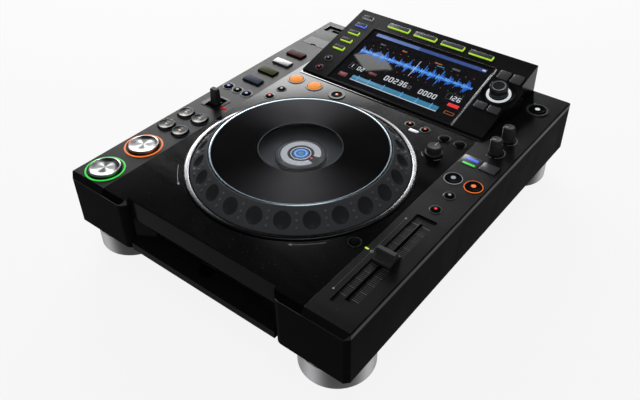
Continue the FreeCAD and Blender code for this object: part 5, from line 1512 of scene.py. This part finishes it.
@dataclass
class Console:
    """The screen with its picture, the frame round it and the console's edges."""

    left: float = -75.0
    right: float = 81.0
    near: float = 2.1
    far: float = 94.6
    glass: float = -1.8

    def build(self) -> None:
        """Build the screen, its picture, its walls and the strips beside it."""
        self.screen()
        self.picture()
        self.edges()

    def at(self, u: float, v: float) -> Point:
        """Return the point of the screen at shares of its width and depth."""
        return self.left + (self.right - self.left) * u, self.near + (self.far - self.near) * v

    def screen(self) -> None:
        """Build the gloss front of the screen."""
        form = Form(CONSOLE)
        middle = ((self.left + self.right) / 2, (self.near + self.far) / 2)
        size = (self.right - self.left, self.far - self.near)
        form.block(middle, (size[0] - 6.6, size[1] - 8.0), -8.8, -2.9, WELL_BLACK, 1.0, 0.3)
        form.block(middle, (size[0] - 0.4, size[1] - 0.4), -2.8, self.glass, SCREEN_BLACK, 0.6, 0.15)
        form.piece("screen_front", "root", ["display_screen"], "screen_glass")

    def picture(self) -> None:
        """Draw a plain picture of sound: a wave, a bar along the top, a strip along the bottom, digits and chips."""
        level = self.glass
        form = Form(CONSOLE)

        def chip(u: float, v: float, wide: float, deep: float, finish: Finish, lift: float = 0.0) -> None:
            """Add one flat chip of light."""
            form.block(self.at(u, v), (wide, deep), level, level + 0.06 + lift, finish, 0.3, 0.02)

        chip(0.5, 0.93, 140.0, 5.0, INK_NAVY)
        chip(0.235, 0.93, 57.0, 5.0, INK_HEADER, 0.03)
        chip(0.93, 0.93, 4.0, 2.2, INK_WHITE, 0.05)
        chip(0.5, 0.15, 108.0, 6.6, INK_CYAN)
        for share in (0.2, 0.29, 0.41, 0.56, 0.68, 0.79):
            chip(share, 0.155, 0.8, 9.0, INK_PALE, 0.05)
        chip(0.5, 0.108, 108.0, 0.9, INK_WHITE, 0.05)
        chip(0.08, 0.14, 10.5, 6.2, INK_MAROON)
        chip(0.27, 0.3, 9.5, 3.6, INK_MAROON)
        chip(0.92, 0.27, 12.5, 4.6, INK_RED)
        chip(0.93, 0.15, 11.0, 4.2, INK_ORANGE)
        chip(0.93, 0.15, 9.6, 2.8, SCREEN_BLACK, 0.05)
        chip(0.16, 0.8, 7.0, 2.0, INK_DIM)
        chip(0.34, 0.81, 6.0, 2.0, INK_ORANGE)
        chip(0.62, 0.8, 9.0, 1.8, INK_ORANGE)
        chip(0.65, 0.765, 9.0, 1.4, INK_CYAN)
        chip(0.76, 0.8, 9.0, 3.0, INK_DIM)
        for number in range(15):
            u = 0.1 + 0.058 * number
            finish = (INK_RED, INK_GREEN, INK_RED, INK_ORANGE)[number % 4]
            chip(u, 0.73 + 0.012 * (number % 3), 0.9, 0.9, finish)
            chip(u + 0.02, 0.455, 0.8, 0.8, (INK_GREEN, INK_RED)[number % 2])
        chip(0.5, 0.6, 0.5, 26.0, INK_WHITE, 0.14)
        self.digits(form, "00236", (0.38, 0.315), 6.4, INK_WHITE)
        self.digits(form, "450", (0.52, 0.3), 4.4, INK_DIM)
        self.digits(form, "0000", (0.66, 0.3), 6.0, INK_WHITE)
        self.digits(form, "126", (0.86, 0.375), 5.6, INK_WHITE)
        self.digits(form, "1", (0.085, 0.315), 4.8, INK_WHITE)
        self.digits(form, "02", (0.15, 0.305), 5.0, INK_WHITE)
        for u, v, wide, deep in ((0.095, 0.31, 8.0, 8.4), (0.885, 0.385, 16.0, 8.8)):
            x, y = self.at(u, v)
            for sx in (-1, 1):
                form.block((x + sx * wide / 2, y), (0.3, deep), level, level + 0.06, INK_DIM, 0.1, 0.02)
                form.block((x, y + sx * deep / 2), (wide, 0.3), level, level + 0.06, INK_DIM, 0.1, 0.02)
        form.piece("screen_picture", "root", (), "screen_glass")
        for name, finish, reach, seed, lift in (("wave_deep", INK_BLUE, 13.5, 3.0, 0.06),
                                                ("wave_core", INK_PALE, 5.0, 8.0, 0.12)):
            values = {"Count": 260, "Pitch": 0.54 * MM, "Reach": reach * MM, "Seed": seed}
            made = REPEATS.bars.grow(f"screen_{name}", finish, values)
            x, y = self.at(0.05, 0.6)
            made.data.transform(on_console(x, y, level + lift))
            mount(made, "root", ())

    def digits(self, form: Form, text: str, share: Point, size: float, finish: Finish) -> None:
        """Draw plain seven-bar digits.

        Args:
            form: The shape to add them to.
            text: The digits.
            share: The place of the first one, as shares of the screen.
            size: Their height.
            finish: Their light.
        """
        bars = {"0": "abcdef", "1": "bc", "2": "abdeg", "3": "abcdg", "4": "bcfg", "5": "acdfg", "6": "acdefg"}
        start = self.at(*share)
        wide = size * 0.52
        thin = size * 0.17
        spots = {"a": (0.0, 0.5, True), "d": (0.0, -0.5, True), "g": (0.0, 0.0, True), "b": (0.5, 0.25, False),
                 "c": (0.5, -0.25, False), "e": (-0.5, -0.25, False), "f": (-0.5, 0.25, False)}
        for number, sign in enumerate(text):
            x = start[0] + number * (wide + thin * 2.4)
            for bar in bars[sign]:
                across, up, flat = spots[bar]
                middle = (x + across * wide, start[1] + up * size)
                form.block(middle, (wide, thin) if flat else (thin, size / 2), self.glass, self.glass + 0.08,
                           finish, 0.1, 0.02)

    def edges(self) -> None:
        """Build the sloping walls round the screen, the bright strip on its right and the light band in front."""
        form = Form(CONSOLE)
        wall = Moulded("screen_wall", (0.01, 0.01, 0.011), 0.22, depth=0.000004, coat=0.3)
        middle = ((self.left + self.right) / 2, (self.near + self.far) / 2)
        size = (self.right - self.left, self.far - self.near)
        loops = [rounded(size[0] - 0.1, size[1] - 0.1, 0.8, -0.02, middle),
                 rounded(size[0] - 4.0, size[1] - 4.0, 0.8, self.glass + 0.02, middle),
                 rounded(size[0] - 0.1, size[1] - 0.1, 0.8, self.glass + 0.01, middle)]
        form.stack(loops, wall, closed=False)
        form.block((82.1, 47.0), (1.7, 93.0), -0.1, 0.12, STRIP_METAL, 0.4, 0.1)
        form.block((3.0, 95.4), (156.0, 0.3), -0.05, 0.06, PRINT_GREY, 0.1, 0.02)
        form.piece("screen_surround", "root", (), "console")
        strip = Form(DECK).block((4.7, 76.4), (223.0, 4.6), 0.0, 0.5, STRIP_GLOSS, 0.4, 0.3)
        strip.piece("console_front_strip", "root", (), "console")


@dataclass
class Markings:
    """The plain printed lines, arcs and small plates of the deck."""

    low: float = 0.0
    high: float = 0.05
    knob_x: float = 136.2
    knob_rows: Point = (93.5, 68.0)
    knob_scale: float = 9.4
    brake_at: Point = (90.7, 32.2)
    brake_scale: float = 11.2

    def build(self) -> None:
        """Draw them all."""
        form = Form(DECK)
        jog = JOG_CENTRE
        form.arc(jog, 113.0, 219.7, 233.5, 0.35, self.low, self.high, PRINT_WHITE, 20)
        form.arc(jog, 112.0, 305.5, 319.7, 0.35, self.low, self.high, PRINT_WHITE, 20)
        self.arrow(form, jog, 113.0, 233.5, 1)
        self.arrow(form, jog, 112.0, 305.5, -1)
        for y in self.knob_rows:
            form.arc((self.knob_x, y), self.knob_scale, -50.0, 50.0, 0.3, self.low, self.high, PRINT_WHITE, 20)
            for angle in (-120, -90, -60, 60, 90, 120):
                turn = math.radians(angle)
                spot = (self.knob_x + self.knob_scale * math.cos(turn), y + self.knob_scale * math.sin(turn))
                form.disc(0.4, self.low, self.high, PRINT_WHITE, spot, 10)
        form.arc(self.brake_at, self.brake_scale, 205.0, 240.0, 0.4, self.low, self.high, PRINT_WHITE, 14)
        form.arc(self.brake_at, self.brake_scale, 300.0, 335.0, 0.4, self.low, self.high, PRINT_WHITE, 14)
        form.block((-122.5, -31.0), (10.6, 4.4), self.low, self.high, PRINT_RED, 2.0, 0.02)
        form.block((55.8, 52.0), (10.3, 4.6), self.low, 0.35, STRIP_METAL, 0.6, 0.15)
        form.block((-134.0, 186.2), (32.0, 0.6), self.low, self.high, PRINT_WHITE, 0.1, 0.02)
        form.block((-151.0, 179.0), (0.6, 14.0), self.low, self.high, PRINT_WHITE, 0.1, 0.02)
        form.turned([(0, 0), (1.1, 0), (1.1, 0.4), (0.7, 0.6), (0, 0.65)], GLOW_GREEN, (129.6, 169.6), 20)
        form.turned([(0, 0), (1.1, 0), (1.1, 0.4), (0.7, 0.6), (0, 0.65)], GLOW_RED, (-118.0, 141.0), 20)
        form.piece("deck_marks", "root")
        self.indicator_panel()

    def arrow(self, form: Form, centre: Point, radius: float, angle: float, way: int) -> None:
        """Add an arrow head at the end of an arc."""
        turn = math.radians(angle)
        tip = math.radians(angle + way * 1.6)
        points = [(centre[0] + (radius + off) * math.cos(a), centre[1] + (radius + off) * math.sin(a)) for off, a in
                  ((1.2, turn), (-1.2, turn), (0.0, tip))]
        form.outline(points, self.low, self.high, PRINT_WHITE)

    @staticmethod
    def indicator_panel() -> None:
        """Build the gloss plate beside the jog mode key, with its two lit bars."""
        form = Form(DECK)
        form.block((124.8, 41.6), (18.6, 15.4), 0.0, 0.35, KEY_GLOSS, 1.0, 0.2)
        form.block((125.2, 44.3), (12.4, 3.6), 0.3, 0.5, GLOW_BLUE, 0.5, 0.1)
        form.block((125.6, 36.6), (12.6, 2.6), 0.3, 0.5, GLOW_GREEN, 0.5, 0.1)
        form.piece("indicator_panel", "root")


@dataclass
class RearSockets:
    """Small bright parts of the sockets behind."""

    jacks: tuple[float, ...] = (52.0, 68.0, 92.0)
    jack_z: float = 48.0
    screws: tuple[float, ...] = (-132.0, -88.0, -40.0, 110.0, 132.0)
    screw_z: float = 62.5

    def build(self) -> None:
        """Build the jack sleeves, the contact tongues and the plate's screws."""
        form = Form(REAR)
        # The third sleeve takes the lit orange cap finish, so it glows with no lamp: painted glow.
        for x, colour in zip(self.jacks, (PRINT_WHITE, PRINT_RED, CAP_ORANGE)):
            form.turned([(4.3, 0.0), (6.2, 0.0), (6.2, 1.6), (5.9, 1.9), (4.3, 1.9)], colour, (x, self.jack_z), 40,
                        hollow=True)
            form.band(3.0, 4.15, 5.2, 7.4, SOCKET_METAL, (x, self.jack_z), 40)
        form.block((3.0, 48.6), (9.6, 1.0), -9.0, -2.0, PRINT_GREY, 0.2, 0.1)
        form.block((29.2, 48.0), (4.4, 3.0), -9.0, -1.0, PRINT_GREY, 0.3, 0.1)
        for x in self.screws:
            form.turned([(0, 0), (3.0, 0), (2.9, 0.8), (2.2, 1.3), (0, 1.5)], SCREW_STEEL, (x, self.screw_z), 32)
            # Painted shade: a dark cross on each head stands in for the shade in its slots.
            form.block((x, self.screw_z), (3.2, 0.6), 1.4, 1.56, WELL_BLACK, 0.1, 0.02)
            form.block((x, self.screw_z), (0.6, 3.2), 1.4, 1.56, WELL_BLACK, 0.1, 0.02)
        form.piece("socket_details", "root")


@dataclass
class Studio:
    """The floor, the lights, the world with its one bright patch for reflections, and the camera."""

    camera_at: Spot = (0.3505, -0.45975, 0.47805)
    forward: Spot = (-0.47708, 0.62727, -0.61557)
    lens: float = 40.49
    sensor: float = 36.0
    shift: Point = (-0.0264, -0.0331)
    floor_half: float = 8.0
    floor_glow: float = 0.88
    soft_light: float = 0.16
    glare_from: Spot = (0.6626, -0.7359, -0.1392)
    glare_edge: float = 0.91
    glare_core: float = 0.995
    dark_mirror: float = 0.015

    def build(self) -> None:
        """Set it all up."""
        self.floor()
        self.world()
        self.lights()
        self.camera()
        bpy.context.scene.view_settings.view_transform = "Standard"

    def floor(self) -> None:
        """Lay the plain pale floor."""
        mesh = bpy.data.meshes.new("floor")
        half = self.floor_half
        mesh.from_pydata([(-half, -half, 0.0), (half, -half, 0.0), (half, half, 0.0), (-half, half, 0.0)], [],
                         [(0, 1, 2, 3)])
        made = link_object("floor", mesh)
        material = bpy.data.materials.new("floor_paper")
        material.use_nodes = True
        tree = material.node_tree
        graph = Graph(tree)
        shader = tree.nodes["Principled BSDF"]
        shader.inputs["Base Color"].default_value = (0.8, 0.8, 0.8, 1.0)
        shader.inputs["Roughness"].default_value = 0.9
        shader.inputs["Specular IOR Level"].default_value = 0.0
        path = graph.node("ShaderNodeLightPath")
        seen = self.seen(graph, path)
        white = graph.node("ShaderNodeEmission", {"Color": (1.0, 1.0, 1.0, 1.0), "Strength": 1.0})
        share = graph.math("MULTIPLY", seen, self.floor_glow)
        mixed = graph.node("ShaderNodeMixShader", {0: share, 1: shader.outputs[0], 2: white.outputs[0]})
        tree.links.new(mixed.outputs[0], tree.nodes["Material Output"].inputs["Surface"])
        mesh.materials.append(material)

    @staticmethod
    def seen(graph: Graph, path: Node) -> Socket:
        """Return where the background is seen straight, through glass or in metal."""
        clear = graph.math("MAXIMUM", path.outputs["Is Camera Ray"], path.outputs["Is Transmission Ray"])
        return graph.math("MAXIMUM", clear, path.outputs["Is Glossy Ray"])

    def world(self) -> None:
        """Light the world softly, white where it is seen straight."""
        world = bpy.data.worlds.new("studio")
        world.use_nodes = True
        bpy.context.scene.world = world
        graph = Graph(world.node_tree)
        path = graph.node("ShaderNodeLightPath")
        facing = graph.vector("DOT_PRODUCT", graph.node("ShaderNodeNewGeometry").outputs["Incoming"],
                              self.glare_from).outputs["Value"]
        patch = graph.node("ShaderNodeMapRange",
                           {"Value": facing, "From Min": self.glare_edge, "From Max": self.glare_core,
                            "To Min": self.dark_mirror, "To Max": 1.0}, interpolation_type="SMOOTHSTEP").outputs[0]
        soft = graph.node("ShaderNodeBackground", {"Color": (0.95, 0.97, 1.0, 1.0), "Strength": self.soft_light})
        glossy = graph.node("ShaderNodeBackground", {"Color": (1.0, 1.0, 1.0, 1.0), "Strength": patch})
        white = graph.node("ShaderNodeBackground", {"Color": (1.0, 1.0, 1.0, 1.0), "Strength": 1.0})
        reflected = graph.node("ShaderNodeMixShader",
                               {0: path.outputs["Is Glossy Ray"], 1: soft.outputs[0], 2: glossy.outputs[0]})
        seen = graph.math("MAXIMUM", path.outputs["Is Camera Ray"], path.outputs["Is Transmission Ray"])
        mixed = graph.node("ShaderNodeMixShader", {0: seen, 1: reflected.outputs[0], 2: white.outputs[0]})
        world.node_tree.links.new(mixed.outputs[0], world.node_tree.nodes["World Output"].inputs["Surface"])

    @staticmethod
    def lamp(name: str, at: Spot, target: Spot, size: Point, power: float) -> None:
        """Add a soft rectangular lamp that faces a point."""
        data = bpy.data.lights.new(name, "AREA")
        data.shape = "RECTANGLE"
        data.size, data.size_y = size
        data.energy = power
        made = bpy.data.objects.new(name, data)
        made.location = at
        made.rotation_mode = "QUATERNION"
        made.rotation_quaternion = (Vector(target) - Vector(at)).to_track_quat("-Z", "Y")
        bpy.context.scene.collection.objects.link(made)

    def lights(self) -> None:
        """Place a low lamp behind on the left, a small one near the screen, one overhead and a weak one in front."""
        middle = (0.0, 0.0, 0.08)
        self.lamp("rear_left_low", (-1.255, 1.30, 0.667), middle, (1.7, 0.8), 40.0)
        self.lamp("screen_glare", (-0.60, 0.63, 0.86), (-0.05, 0.13, 0.1), (0.17, 0.14), 0.4)
        self.lamp("overhead", (0.0, 0.0, 2.0), middle, (0.8, 0.8), 5.0)
        self.lamp("front_fill", (0.9, -2.2, 0.7), middle, (0.9, 0.9), 3.0)

    def camera(self) -> None:
        """Set the camera at the photograph's viewpoint."""
        data = bpy.data.cameras.new("camera")
        data.lens = self.lens
        data.sensor_width = self.sensor
        data.shift_x, data.shift_y = self.shift
        made = bpy.data.objects.new("camera", data)
        made.location = self.camera_at
        made.rotation_mode = "QUATERNION"
        made.rotation_quaternion = Vector(self.forward).to_track_quat("-Z", "Y")
        bpy.context.scene.collection.objects.link(made)
        bpy.context.scene.camera = made


REPEATS: Repeats


def main() -> None:
    """Build the player's looks and the studio."""
    global REPEATS
    logging.basicConfig(level=logging.INFO, format="%(name)s: %(message)s")
    build_effects()
    REPEATS = Repeats()
    Case().build()
    JogWheel().build()
    for key in ROUND_KEYS:
        key.build()
    SmallCaps().build()
    FlatKeys().build()
    Knobs().build()
    Slider().build()
    Lever().build()
    Console().build()
    Markings().build()
    RearSockets().build()
    Studio().build()
    bpy.context.view_layer.update()
    LOG.info("done")


if __name__ == "__main__":
    main()
